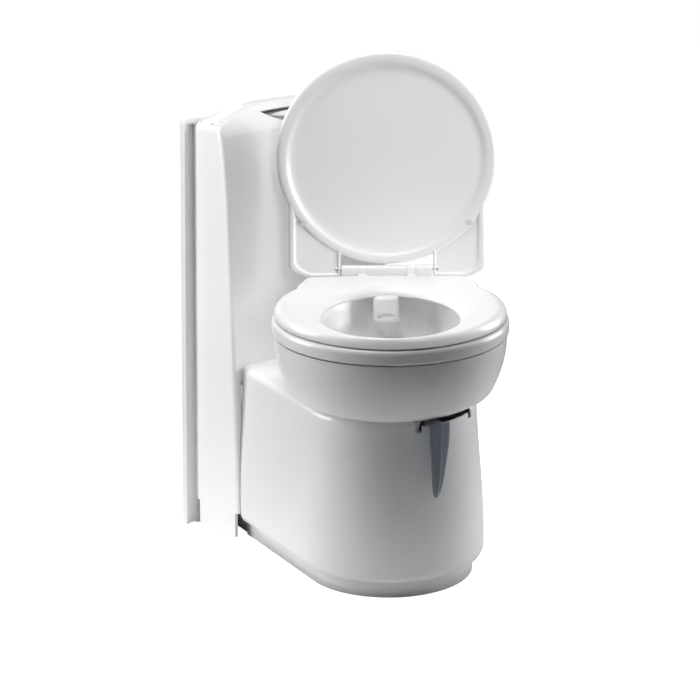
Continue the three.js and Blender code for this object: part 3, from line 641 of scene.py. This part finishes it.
def build_control_panel():
    rise, fall = PANEL_RISE - GAP, PANEL_FALL - GAP
    panel = lens_solid("panel_face", lens_outline(PANEL_HALF, rise, fall, PANEL_MIDDLE),
                       -9 * MM, -3.2 * MM, 0.8 * MM)
    reach = BUTTON_REACH + GAP
    opening = lens_outline(BUTTON_HALF + 0.4 * MM, reach, reach, BUTTON_MIDDLE)
    cut(panel, lens_solid("button_cut", opening, -20 * MM, 10 * MM))
    dress(panel, GREY, "console", "grey_plastic", "control_panel")
    levels = []
    for share, z in [(1, -12), (1, -3.5), (0.985, -2.6), (0.95, -2.0), (0.85, -1.6), (0.7, -1.5)]:
        reach = BUTTON_REACH * share
        levels.append(level(lens_outline(BUTTON_HALF * share, reach, reach, BUTTON_MIDDLE), z * MM))
    button = loft("flush_key", levels, matrix=PANEL_FRAME)
    window = lens_outline(12 * MM, 3.2 * MM, 3.2 * MM, BUTTON_MIDDLE)
    cut(button, lens_solid("window_cut", window, -5 * MM, 5 * MM))
    dress(button, WHITE, "flush_button", "white_plastic", "flush_button")


# ---------- pedestal ----------

# (height, half width) in mm
PEDESTAL = [(28, 149.6), (29, 151.8), (32, 154.6), (37, 157.4), (43, 158.6), (72, 158.9), (100, 158.0),
            (131, 156.4), (160, 154.4), (183, 152.5), (210, 150.4), (236, 148.5), (262, 146.8), (281, 145.6)]
SHOULDER = 11 * MM                       # radius of the edge round the pedestal's top
SKIRT_REAR = 256 * MM
COLUMN_GAP = 0.4 * MM                    # play beside the column
CLOSING = 0.075 / (SKIRT_REAR - PLINTH_CENTRE_Y)  # share of the width lost per metre towards the wall


def pedestal_outline(half, rear):
    """Open outline from the rear left, round the front, to the rear right."""
    def narrowed(y):
        return half * (1 - CLOSING * max(0.0, y - PLINTH_CENTRE_Y))
    side = [rear + (PLINTH_CENTRE_Y - rear) * k / 16 for k in range(16)]
    left = [(-narrowed(y), y) for y in side]
    return left + arc(0, PLINTH_CENTRE_Y, half, half, 180, 360, 72) + mirrored(left)


def meet_column(x, z):
    """How far back the pedestal runs at x and z before it meets the hollow column front."""
    y = column_front_y(z)
    radius = math.hypot(column_side_x(y), y - HOLLOW_Y)
    return HOLLOW_Y + math.sqrt(max(radius ** 2 - x ** 2, 0)) - COLUMN_GAP


def pedestal_ring(half, z):
    """The pedestal's outline at height z, its rear ends on the column's front."""
    corner_x = pedestal_outline(half, 250 * MM)[0][0]
    return level(pedestal_outline(half, meet_column(corner_x, z)), z)


def build_pedestal():
    profile = curve_through(PEDESTAL, 4)
    rings = [pedestal_ring(half * MM, z * MM) for z, half in profile]
    edge_z, edge_half = profile[-1][0] * MM, profile[-1][1] * MM
    for k in range(1, 9):
        a = math.pi / 2 * k / 8
        z = edge_z + (BASE_TOP - edge_z) * math.sin(a)
        rings.append(pedestal_ring(edge_half - SHOULDER * (1 - math.cos(a)), z))
    skin = open_skin("pedestal_skin", rings)
    fill_top(skin, BASE_TOP)
    thicken(skin)
    cut(skin, cylinder_tool("neck_hole", 104.5 * MM, BASE_TOP - 20 * MM, BASE_TOP + 20 * MM), 50)
    # the lever's slot: a long opening through the edge, with a deeper notch at each end
    for start, end, z0, z1 in [(-15, 38, 282, 300), (-15, -10, 272, 290), (33, 38, 272, 290)]:
        cut(skin, sector_tool("slot", 116 * MM, 175 * MM, start, end, z0 * MM, z1 * MM), 50)
    dress(skin, WHITE, "console", "white_plastic", "base_shell")


def fill_top(obj, z):
    """Closes the open top of a skin with one flat face, its rear edge along the column front."""
    made = bmesh.new()
    made.from_mesh(obj.data)
    rim = [v for v in made.verts if abs(v.co.z - z) < 1e-5]
    rear_y = max(v.co.y for v in rim)
    half = max(v.co.x for v in rim if rear_y - v.co.y < 1e-5)
    for k in range(1, 24):
        x = half * (1 - k / 12)
        rim.append(made.verts.new((x, meet_column(x, z), z)))
    made.faces.new(sorted(rim, key=lambda v: math.atan2(v.co.y - 60 * MM, v.co.x)))
    bmesh.ops.recalc_face_normals(made, faces=made.faces)
    made.to_mesh(obj.data)
    made.free()
    shade(obj, 50)


def cylinder_tool(name, radius, z0, z1):
    return loft(name, [circle(radius, z, 96) for z in (z0, z1)])


def sector_tool(name, inner, outer, start, end, z0, z1):
    """A ring sector about the swivel axis, angles in degrees from straight ahead."""
    outline = (arc(0, 0, outer, outer, start - 90, end - 90, 24)
               + arc(0, 0, inner, inner, end - 90, start - 90, 24))
    return loft(name, [level(outline, z) for z in (z0, z1)])


def build_plinths():
    half = PLINTH_HALF
    profile = [(half, 0), (half, 30), (half - 0.2 * MM, 38), (half - 1 * MM, 41)]
    skirt = open_skin("plinth_skirt", [level(pedestal_outline(h, SKIRT_REAR), z * MM) for h, z in profile])
    thicken(skirt)
    dress(skirt, WHITE, "console", "white_plastic", "base_plinth")
    for side, name in ((-1, "left"), (1, "right")):
        y0, y1 = low("column_plinth_" + name).y, high("column_plinth_" + name).y
        outer = [(column_side_x(y) - COLUMN_GAP, y) for y in (y0, y1)]
        outline = outer + [(x - 5 * MM, y) for x, y in outer[::-1]]
        outline = outline if side > 0 else mirrored(outline)
        foot = plate("column_foot_" + name, outline, 0, COLUMN_FOOT - GAP, 0.6 * MM)
        dress(foot, WHITE, "console", "white_plastic", "column_plinth_" + name)


# ---------- bowl, all drawn facing ahead and then turned by BOWL_FRAME ----------

REAR_HALF = 142 * MM                     # half width at the rear of the rim and the seat
RIM_RADIUS = 195.7 * MM
RIM_REAR = 204 * MM
RIM_HOLE = 166.5 * MM
RIM_INSET = 12                           # mm from the rim's edge to its flat top


def build_bowl():
    # (radius, height) in mm
    outside = [(145, 294.2), (149, 296.2), (155.5, 299.6), (162.5, 303.6), (168.5, 309.6), (173.5, 319.5),
               (179, 332), (183.7, 345), (187.5, 358), (190.2, 371), (192, 386), (192.7, 399.9)]
    skin = curve_through([(r * MM, z * MM) for r, z in outside], 5)
    inside = [(r - WALL, z + 1.2 * MM) for r, z in skin[::-1]]
    inside[0] = (inside[0][0], skin[-1][1])
    foot = [(92 * MM, 297 * MM), (92 * MM, 276 * MM), (96 * MM, 276 * MM), (96 * MM, 294 * MM),
            (144 * MM, 294 * MM)]
    bowl = revolve("bowl_skin", skin + inside + foot)
    dress(bowl, BOWL_WHITE, "bowl", "white_plastic", "bowl_shell")

    wet = [(166, 424.5), (163.5, 424.5), (160, 420), (156, 404), (149, 380), (138, 356), (122, 333), (102, 312),
           (80, 291), (61, 270), (50, 254), (45, 240), (44, 224), (44, 212.6)]
    wet = curve_through([(r * MM, z * MM) for r, z in wet], 5)
    dry = [(r + 3 * MM, z - 1 * MM) for r, z in wet[::-1]]
    dry[0] = (47 * MM, 212.6 * MM)
    basin = revolve("basin", wet + dry)
    cut(basin, block("nozzle_gap", -24 * MM, 18 * MM, 140 * MM, 168 * MM, 408 * MM, 430 * MM), 50)
    basin.data.transform(BOWL_FRAME)
    # the basin's brighter white is painted light inside the bowl
    dress(basin, BASIN_WHITE_PAINTED_LIGHT, "bowl", "white_plastic", "bowl_basin")


def with_shoulders(front, shoulder_x, rear, radii):
    """A round front arc closed behind by a square-shouldered extension for the hinge."""
    corners = [front[-1], (shoulder_x, 133 * MM), (REAR_HALF, rear), (-REAR_HALF, rear),
               (-shoulder_x, 133 * MM), front[0]]
    shoulder, corner = radii
    return front + rounded(corners, [0, shoulder, corner, corner, shoulder, 0], 8)[1:-1]


def build_rim():
    front = arc(0, 0, RIM_RADIUS, RIM_RADIUS, 143, 397, 120)
    outline = divided(with_shoulders(front, 155 * MM, RIM_REAR, (24 * MM, 16 * MM)), 5 * MM)
    # (distance in from the edge, height) in mm
    foot, top = 402.2, 426
    profile = [(RIM_INSET, foot), (5, foot), (1.5, 403), (0.2, 405.5), (0, 410), (0, 417), (0.6, 421),
               (2.2, 424), (5, 425.7), (8, top), (RIM_INSET, top)]
    rings = [level(inset(outline, d * MM), z * MM) for d, z in curve_through(profile, 3)]
    inner = [(RIM_HOLE * math.cos(a), RIM_HOLE * math.sin(a))
             for a in (math.atan2(y, x) for x, y in inset(outline, RIM_INSET * MM))]
    rings += [level(inner, top * MM), level(inner, foot * MM)]
    ring = loft("rim_cap", rings, wrap=True, matrix=BOWL_FRAME)
    dress(ring, BOWL_WHITE, "bowl", "white_plastic", "rim_ring")


def shear_back(slope):
    """Leans a shape back: y grows by slope times its height."""
    lean = Matrix.Identity(4)
    lean[1][2] = slope
    return lean


def build_nozzle():
    """A rounded tab on the bowl's rear wall, with a shallow arched mouth low on its face."""
    top, foot, half = 425.6 * MM, 385 * MM, 22 * MM
    tab = block("nozzle_body", -half, half, 0, 70 * MM, 0, top - foot, 7 * MM)
    arch = arc(0, 7 * MM, 15 * MM, 3 * MM, 180, 360, 16) + arc(0, 7 * MM, 15 * MM, 8 * MM, 0, 180, 20)[1:-1]
    cut(tab, loft("mouth", [[(x, y, z) for x, z in arch] for y in (2.5 * MM, -10 * MM)]))
    tab.data.transform(BOWL_FRAME @ Matrix.Translation((-3 * MM, 97 * MM, foot)) @ shear_back(0.5))
    # the nozzle shares the basin's brighter white, which is painted light
    dress(tab, BASIN_WHITE_PAINTED_LIGHT, "bowl", "white_plastic", "flush_nozzle")


# ---------- seat ----------

SEAT_RADIUS = 194.3 * MM
SEAT_CENTRE_Y = 1 * MM
SEAT_REAR = 183 * MM
HOLE_CENTRE_Y = -15 * MM
HOLE_HALF = 114 * MM
HOLE_HALF_LENGTH = 139 * MM
LUG_X = 42 * MM
LUG_HALF = 7.4 * MM


def build_seat():
    front = arc(0, SEAT_CENTRE_Y, SEAT_RADIUS, SEAT_RADIUS, 145, 395, 120)
    outline = with_shoulders(front, 157 * MM, SEAT_REAR, (14 * MM, 9 * MM))
    outer = divided(resample(outline, 288), 5 * MM)
    hole = []
    for x, y in outer:
        a = math.atan2((y - HOLE_CENTRE_Y) / 1.12, x)
        hole.append((HOLE_HALF * math.cos(a), HOLE_CENTRE_Y + HOLE_HALF_LENGTH * math.sin(a)))
    # (share of the way to the hole, height in mm)
    section = [(0.09, 428.2), (0.05, 428.7), (0.036, 431), (0.036, 434.5), (0.05, 438.5), (0.08, 442),
               (0.125, 444.4), (0.18, 445.2), (0.28, 444), (0.45, 441.6), (0.62, 439.7), (0.76, 438),
               (0.86, 435.8), (0.93, 432.8), (0.98, 429), (1.0, 425.5), (0.99, 423), (0.95, 422.8),
               (0.88, 426.5), (0.8, 428.2), (0.4, 428.2)]
    rings = []
    for share, z in curve_through(section, 3, closed=True):
        ring = []
        for (ox, oy), (hx, hy) in zip(outer, hole):
            # the edge is tighter near the middle plane
            tight = 0.5 * max(0.0, 1 - abs(ox) / (130 * MM)) * max(0.0, 1 - share / 0.4)
            reach = share * (1 - tight)
            ring.append((ox + (hx - ox) * reach, oy + (hy - oy) * reach, z * MM))
        rings.append(ring)
    seat = loft("seat_moulding", rings, wrap=True, smooth_angle=60)
    for side, name in ((-1, "seat_lug_left"), (1, "seat_lug_right")):
        lug = lug_solid(name, side * LUG_X)
        lug.data.transform(BOWL_FRAME)
        dress(lug, SEAT_WHITE, "seat", "seat_plastic")
    seat.data.transform(BOWL_FRAME)
    dress(seat, SEAT_WHITE, "seat", "seat_plastic", "seat_ring")


def lug_solid(name, x):
    """A hinge lug: an arm from the seat's rear edge to an eye round the pin."""
    y, z = HINGE_REACH, HINGE.z
    eye = arc(y, z, 7 * MM, 7 * MM, -60, 180, 24)
    arm = [(y - 7 * MM, SEAT_TOP), (174 * MM, 443 * MM), (176 * MM, 434 * MM), (190 * MM, 434 * MM)]
    lug = loft(name, [upright(px, eye + arm) for px in (x - LUG_HALF, x + LUG_HALF)])
    bore = [(y + 3.1 * MM * math.cos(math.radians(a)), z + 3.1 * MM * math.sin(math.radians(a)))
            for a in range(0, 360, 15)]
    cut(lug, loft("bore", [upright(px, bore) for px in (x - 20 * MM, x + 20 * MM)]))
    return lug


# ---------- lid, drawn closed about the hinge axis ----------

LID_HALF = 189 * MM
LID_HALF_LENGTH = 183 * MM
LID_CENTRE = 191.6 * MM
RECESS_OFFSET = 3.5 * MM                 # the recess sits nearer the hinge than the lid's edge
WING_HALF = 168.5 * MM
WING_INNER = 79.6 * MM
WING_UNDER_RIM = 10 * MM


def lid_ring(distance, z, offset=0.0):
    """An oval level of the lid, drawn in by distance; offset moves it towards the hinge."""
    return [((LID_HALF - distance) * math.cos(a),
             offset - LID_CENTRE + (LID_HALF_LENGTH - distance) * math.sin(a), z)
            for a in (2 * math.pi * k / 192 for k in range(192))]


def build_lid():
    # (distance in from the edge, height above the hinge axis) in mm: from the face through the
    # soft cove to the rim and round to the back
    cove = [(42, 1.2), (34, 1.1), (28, 0.5), (24, -0.7), (20.6, -2.4), (17.6, -4.0), (14, -4.8)]
    rim = [(9, -5), (4.8, -4.4), (1.8, -2.4), (0.3, 0.6), (0, 4), (0.3, 7.5), (1.8, 10.4), (5, 12.6), (10, 13.8)]
    back = [(24, 15.4), (50, 16.8), (90, 17.6), (130, 17.9)]
    section = curve_through(cove + rim + back, 4)
    rings = []
    for d, z in section:
        share = min(1.0, max(0.0, (d - 9) / 12)) if z < 5 else 0
        rings.append(lid_ring(d * MM, z * MM, RECESS_OFFSET * share))
    face = [lid_ring((42 + 139 * t) * MM, (1.2 + 0.4 * t) * MM, RECESS_OFFSET * (1 - t))
            for t in (1, 0.85, 0.6, 0.3)]
    disc = loft("lid_disc", face + rings, smooth_angle=60, matrix=LID_FRAME)
    dress(disc, SEAT_WHITE, "lid", "seat_plastic", "lid_panel")
    paint_recess(disc, 0.6 * MM)
    for side, name in ((-1, "lid_wing_left"), (1, "lid_wing_right")):
        wing = build_wing(name, side)
        dress(wing, SEAT_WHITE, "lid", "seat_plastic")
        paint_recess(wing, -3 * MM)


def wing_outline(side, margin):
    """A post behind the round lid, drawn in by margin except where it runs under the lid's rim."""
    inner, outer, rear = WING_INNER + margin * 0.5, WING_HALF - margin * 1.6, 14 * MM - margin
    rx, ry = LID_HALF - WING_UNDER_RIM, LID_HALF_LENGTH - WING_UNDER_RIM
    start = math.degrees(math.acos(outer / rx))
    end = math.degrees(math.acos(inner / rx))
    under_rim = arc(0, -LID_CENTRE, rx, ry, start, end, 12)
    soften = margin * 0.5
    points = [(inner, rear), (141 * MM - margin, rear), (outer, -margin), under_rim[0]]
    radii = [max(1 * MM, 4 * MM - soften), 10 * MM, 9 * MM + soften, 0]
    outline = rounded(points + under_rim[1:], radii + [0] * (len(under_rim) - 1), 6)
    return outline[::-1] if side > 0 else mirrored(outline[::-1])


def build_wing(name, side):
    # (distance in from the edge, height) in mm: the back, round the edge, over the border and
    # down into the recess
    section = [(9, 12), (2.5, 11.6), (0.8, 10.6), (0, 8.6), (0, -1.6), (0.5, -3.4), (1.8, -4.6), (3.4, -4.9),
               (5, -4.9), (6.2, -4.5), (6.8, -3.6), (7.2, -2.2), (8.2, -1.6), (10, -1.5)]
    levels = [level(wing_outline(side, d * MM), z * MM) for d, z in section]
    return loft(name, levels, smooth_angle=50, matrix=LID_FRAME)


def paint_recess(piece, deepest):
    """The recessed faces of the lid have a matt, slightly greyer finish."""
    piece.data.materials.append(LID_PANEL)
    back = LID_FRAME.inverted()
    for polygon in piece.data.polygons:
        centre = back @ polygon.center
        if deepest < centre.z < 4.2 * MM and (back.to_3x3() @ polygon.normal).z < -0.8:
            polygon.material_index = 1


# ---------- hinge, lever ----------

def build_hinge_block():
    y, z = HINGE_REACH, HINGE.z
    crest = arc(y, z, 7 * MM, 7 * MM, 0, 180, 20)
    foot = RIM_HIGH + GAP
    outline = crest + [(185.8 * MM, 446 * MM), (185.8 * MM, foot), (204 * MM, foot), (203 * MM, 446 * MM)]
    half = 77.8 * MM
    steps = [(-half, 0.9), (-half + 1 * MM, 0.0), (half - 1 * MM, 0.0), (half, 0.9)]
    body = loft("hinge_barrel", [upright(x, inset(outline, d * MM)) for x, d in steps])
    gap = LUG_HALF + 0.35 * MM
    for x in (-LUG_X, LUG_X):
        cut(body, block("lug_gap", x - gap, x + gap, 180 * MM, 202.5 * MM, 433 * MM, 470 * MM))
    body.data.transform(BOWL_FRAME)
    dress(body, SEAT_WHITE, "bowl", "white_plastic", "hinge_block")


LEVER_TURN = -2.5                        # degrees from straight ahead


def build_lever():
    """A tapering slate handle with a raised centre line, hanging from the slot under the bowl."""
    # (height, left edge, right edge, distance from the swivel axis) in mm
    stations = [(291, -18.5, 18.5, 158.5), (286, -18.6, 18.8, 158.6), (275, -18.4, 18.8, 158.8),
                (262, -17.8, 18.0, 159), (245, -17.0, 15.4, 159.6), (225, -16.0, 11.6, 160.4),
                (205, -15.2, 7.4, 161.2), (190, -14.6, 3.6, 162), (180, -13.6, 0.2, 162.6),
                (174, -12.0, -3.0, 163), (171.3, -9.8, -5.6, 163.2)]
    # (share of the width, share of the thickness): over the front from left to right, and back behind
    section = [(0.0, 0.35), (0.015, 0.62), (0.06, 0.78), (0.16, 0.86), (0.3, 0.9), (0.42, 0.94), (0.47, 1.06),
               (0.5, 1.12), (0.53, 1.06), (0.58, 0.94), (0.7, 0.9), (0.84, 0.86), (0.94, 0.78), (0.985, 0.62),
               (1.0, 0.35), (0.97, 0.1), (0.8, 0.0), (0.5, 0.0), (0.2, 0.0), (0.03, 0.1)]
    rows = []
    for z, left, right, reach in curve_through(stations, 4):
        width = right - left
        middle = (left + right) / 2 - width * 0.04
        rise = min(7.2, width * 0.36)
        ring = []
        for u, h in section:
            x = left + width * u
            bow = 0.9 * (1 - (2 * (x - middle) / max(width, 1)) ** 2)
            ring.append((x * MM, -(reach + h * rise * 0.9 + (bow if h > 0.5 else 0)) * MM, z * MM))
        rows.append(ring)
    handle = loft("lever_handle", rows, smooth_angle=38)
    stem = block("lever_stem", -10 * MM, 10 * MM, -160.5 * MM, -117 * MM, 284.6 * MM, 290 * MM, 1.2 * MM)
    cut(handle, stem, 38, "UNION")
    handle.data.transform(Matrix.Rotation(math.radians(LEVER_TURN), 4, "Z"))
    dress(handle, SLATE, "lever", "slate_plastic", "blade_lever")


# ---------- floor, light and camera ----------

CAMERA_TURN = 31.749                     # degrees
CAMERA_DOWN = 5.647
CAMERA_DISTANCE = 4.683
CAMERA_HEIGHT = 1.806
CAMERA_LENS = 149.8
SHIFT_X = -0.0576
SHIFT_Y = -0.84
VIEW_AXIS = (math.sin(math.radians(CAMERA_TURN)), math.cos(math.radians(CAMERA_TURN)), 0)
# (cosine of the angle between a line of sight and VIEW_AXIS, colour): plain white for the camera
# below, as in the photo, and pale grey for a camera on another side, where white would hide the object
BACKDROP = [(0.7, (0.55, 0.55, 0.55)), (0.86, (1, 1, 1))]
ROOM_LIGHT = 0.06
# pieces that get light of their own
COLUMN_PIECES = ("column_skin", "back_frame", "column_foot_left", "column_foot_right")
SHADED_PIECES = ("column_skin", "pedestal_skin", "plinth_skirt", "bowl_skin", "rim_cap", "seat_moulding",
                 "lever_handle", "nozzle_body", "floor")
FILL_PIECES = ("column_skin", "seat_moulding", "lever_handle")


def build_stage():
    """A floor that the camera sees as an even white glow; under that, its colour is a painted pool of light,
    pale near the object and dark further off, so that only the floor near the object throws light back onto it.
    """
    floor = mesh_object("floor", [(-6, -6, 0), (6, -6, 0), (6, 6, 0), (-6, 6, 0)], [(0, 1, 2, 3)])
    n = Nodes("floor_with_painted_light_pool")
    place = n.add("ShaderNodeTexCoord")
    distance = n.add("ShaderNodeVectorMath", operation="LENGTH")
    n.wire(place.outputs["Object"], distance.inputs[0])
    # painted pool of light: the floor's own colour is pale near the object and dark further off, standing in for
    # light that falls mostly near the object
    pale, dark = (0.93, 0.93, 0.93), (0.12, 0.12, 0.12)
    n.wire(n.ramp(distance.outputs["Value"], [(0.35, pale), (0.95, dark)]), n.shader.inputs["Base Color"])
    n.shader.inputs["Emission Color"].default_value = (1, 1, 1, 1)
    seen = n.add("ShaderNodeLightPath")
    glow = n.add("ShaderNodeMath", operation="MULTIPLY")
    n.wire(seen.outputs["Is Camera Ray"], glow.inputs[0])
    geometry = n.add("ShaderNodeNewGeometry")
    facing = n.add("ShaderNodeVectorMath", operation="DOT_PRODUCT")
    n.wire(geometry.outputs["Incoming"], facing.inputs[0])
    facing.inputs[1].default_value = tuple(-part for part in VIEW_AXIS)
    n.wire(n.ramp(facing.outputs["Value"], BACKDROP), glow.inputs[1])
    n.wire(glow.outputs["Value"], n.shader.inputs["Emission Strength"])
    n.shader.inputs["Roughness"].default_value = 0.9
    n.shader.inputs["Specular IOR Level"].default_value = 0.1
    floor.data.materials.append(n.material)
    floor.location.z = -0.3 * MM


def area_light(name, place, target, energy, size_x, size_y=None):
    """A lamp at place, aimed at target; watts and metres."""
    data = bpy.data.lights.new(name, "AREA")
    data.energy = energy
    data.shape = "RECTANGLE"
    data.size = size_x
    data.size_y = size_y or size_x
    light = bpy.data.objects.new(name, data)
    light.location = place
    light.rotation_euler = (Vector(target) - Vector(place)).to_track_quat("-Z", "Y").to_euler()
    bpy.context.scene.collection.objects.link(light)
    return light


def light_only(light, wanted):
    """A flag in front of a light: only the pieces whose name is wanted receive it."""
    lit = bpy.data.collections.new(light.name + "_receivers")
    for obj in bpy.context.scene.objects:
        if obj.type == "MESH" and wanted(obj.name):
            lit.objects.link(obj)
    light.light_linking.receiver_collection = lit


def build_light():
    """A white studio: the camera sees the backdrop, and a dim room and seven lamps light the object."""
    world = bpy.data.worlds.new("studio")
    bpy.context.scene.world = world
    world.use_nodes = True
    tree = world.node_tree
    room = tree.nodes["Background"]
    room.inputs["Color"].default_value = (0.94, 0.97, 1, 1)
    room.inputs["Strength"].default_value = ROOM_LIGHT
    backdrop = tree.nodes.new("ShaderNodeBackground")
    direction = tree.nodes.new("ShaderNodeTexCoord")
    facing = tree.nodes.new("ShaderNodeVectorMath")
    facing.operation = "DOT_PRODUCT"
    tree.links.new(direction.outputs["Generated"], facing.inputs[0])
    facing.inputs[1].default_value = VIEW_AXIS
    shades = tree.nodes.new("ShaderNodeValToRGB")
    for stop, (position, colour) in zip(shades.color_ramp.elements, BACKDROP):
        stop.position, stop.color = position, (*colour, 1)
    tree.links.new(facing.outputs["Value"], shades.inputs["Fac"])
    tree.links.new(shades.outputs["Color"], backdrop.inputs["Color"])
    seen = tree.nodes.new("ShaderNodeLightPath")
    mix = tree.nodes.new("ShaderNodeMixShader")
    tree.links.new(seen.outputs["Is Camera Ray"], mix.inputs["Fac"])
    tree.links.new(room.outputs["Background"], mix.inputs[1])
    tree.links.new(backdrop.outputs["Background"], mix.inputs[2])
    tree.links.new(mix.outputs["Shader"], tree.nodes["World Output"].inputs["Surface"])
    rear_left = area_light("rear_left", (-2.4, 1.7, 1.2), (0, 0.15, 0.4), 68, 1.6, 2.0)
    light_only(rear_left, lambda name: name not in COLUMN_PIECES)
    side = area_light("side", (-2.8, 0.6, 1.2), (0, 0.15, 0.4), 66, 0.9, 2.0)
    light_only(side, lambda name: name in COLUMN_PIECES)
    area_light("top", (-0.3, 0.0, 2.3), (0, 0.1, 0.4), 24, 1.2)
    area_light("right", (2.7, -0.3, 0.9), (0, 0.15, 0.3), 56, 1.4, 1.8)
    rear = area_light("rear", (1.0, 3.2, 0.9), (0, 0.3, 0.4), 22, 1.8)
    front = area_light("front", (1.5, -2.3, 1.0), (0, 0.2, 0.5), 61, 1.2)
    for light in (rear, front):
        light_only(light, lambda name: name not in SHADED_PIECES)
    fill = area_light("fill", (-0.2, -2.6, 1.8), (0, 0.25, 0.6), 20, 1.2)
    light_only(fill, lambda name: name in FILL_PIECES)
    bpy.context.scene.view_settings.view_transform = "Standard"


def build_camera():
    data = bpy.data.cameras.new("camera")
    camera = bpy.data.objects.new("camera", data)
    turn = math.radians(CAMERA_TURN)
    camera.location = (-CAMERA_DISTANCE * math.sin(turn), -CAMERA_DISTANCE * math.cos(turn), CAMERA_HEIGHT)
    camera.rotation_euler = (math.radians(90 - CAMERA_DOWN), 0, -turn)
    data.lens = CAMERA_LENS
    data.sensor_width = 36
    bpy.context.scene.collection.objects.link(camera)
    bpy.context.scene.camera = camera
    viewpoint = bpy.data.objects.new("viewpoint", None)
    viewpoint.location = camera.location
    bpy.context.scene.collection.objects.link(viewpoint)
    shift_at(viewpoint, camera, "shift_x", SHIFT_X)
    shift_at(viewpoint, camera, "shift_y", SHIFT_Y)


def shift_at(viewpoint, camera, prop, value):
    """Shifts the lens by value while the camera is at the viewpoint, and by nothing anywhere else.

    The photo is framed off centre, and a camera that is moved to another side has to be centred.
    """
    curve = camera.data.driver_add(prop)
    for modifier in list(curve.modifiers):
        curve.modifiers.remove(modifier)
    curve.driver.type = "AVERAGE"
    away = curve.driver.variables.new()
    away.type = "LOC_DIFF"
    away.targets[0].id = camera
    away.targets[1].id = viewpoint
    for distance, amount in ((0, value), (0.02, 0)):
        curve.keyframe_points.insert(distance, amount).interpolation = "LINEAR"


dress_frame_nodes()
build_column()
build_back_plate()
build_control_panel()
build_pedestal()
build_plinths()
build_bowl()
build_rim()
build_nozzle()
build_seat()
build_lid()
build_hinge_block()
build_lever()
build_stage()
build_light()
build_camera()
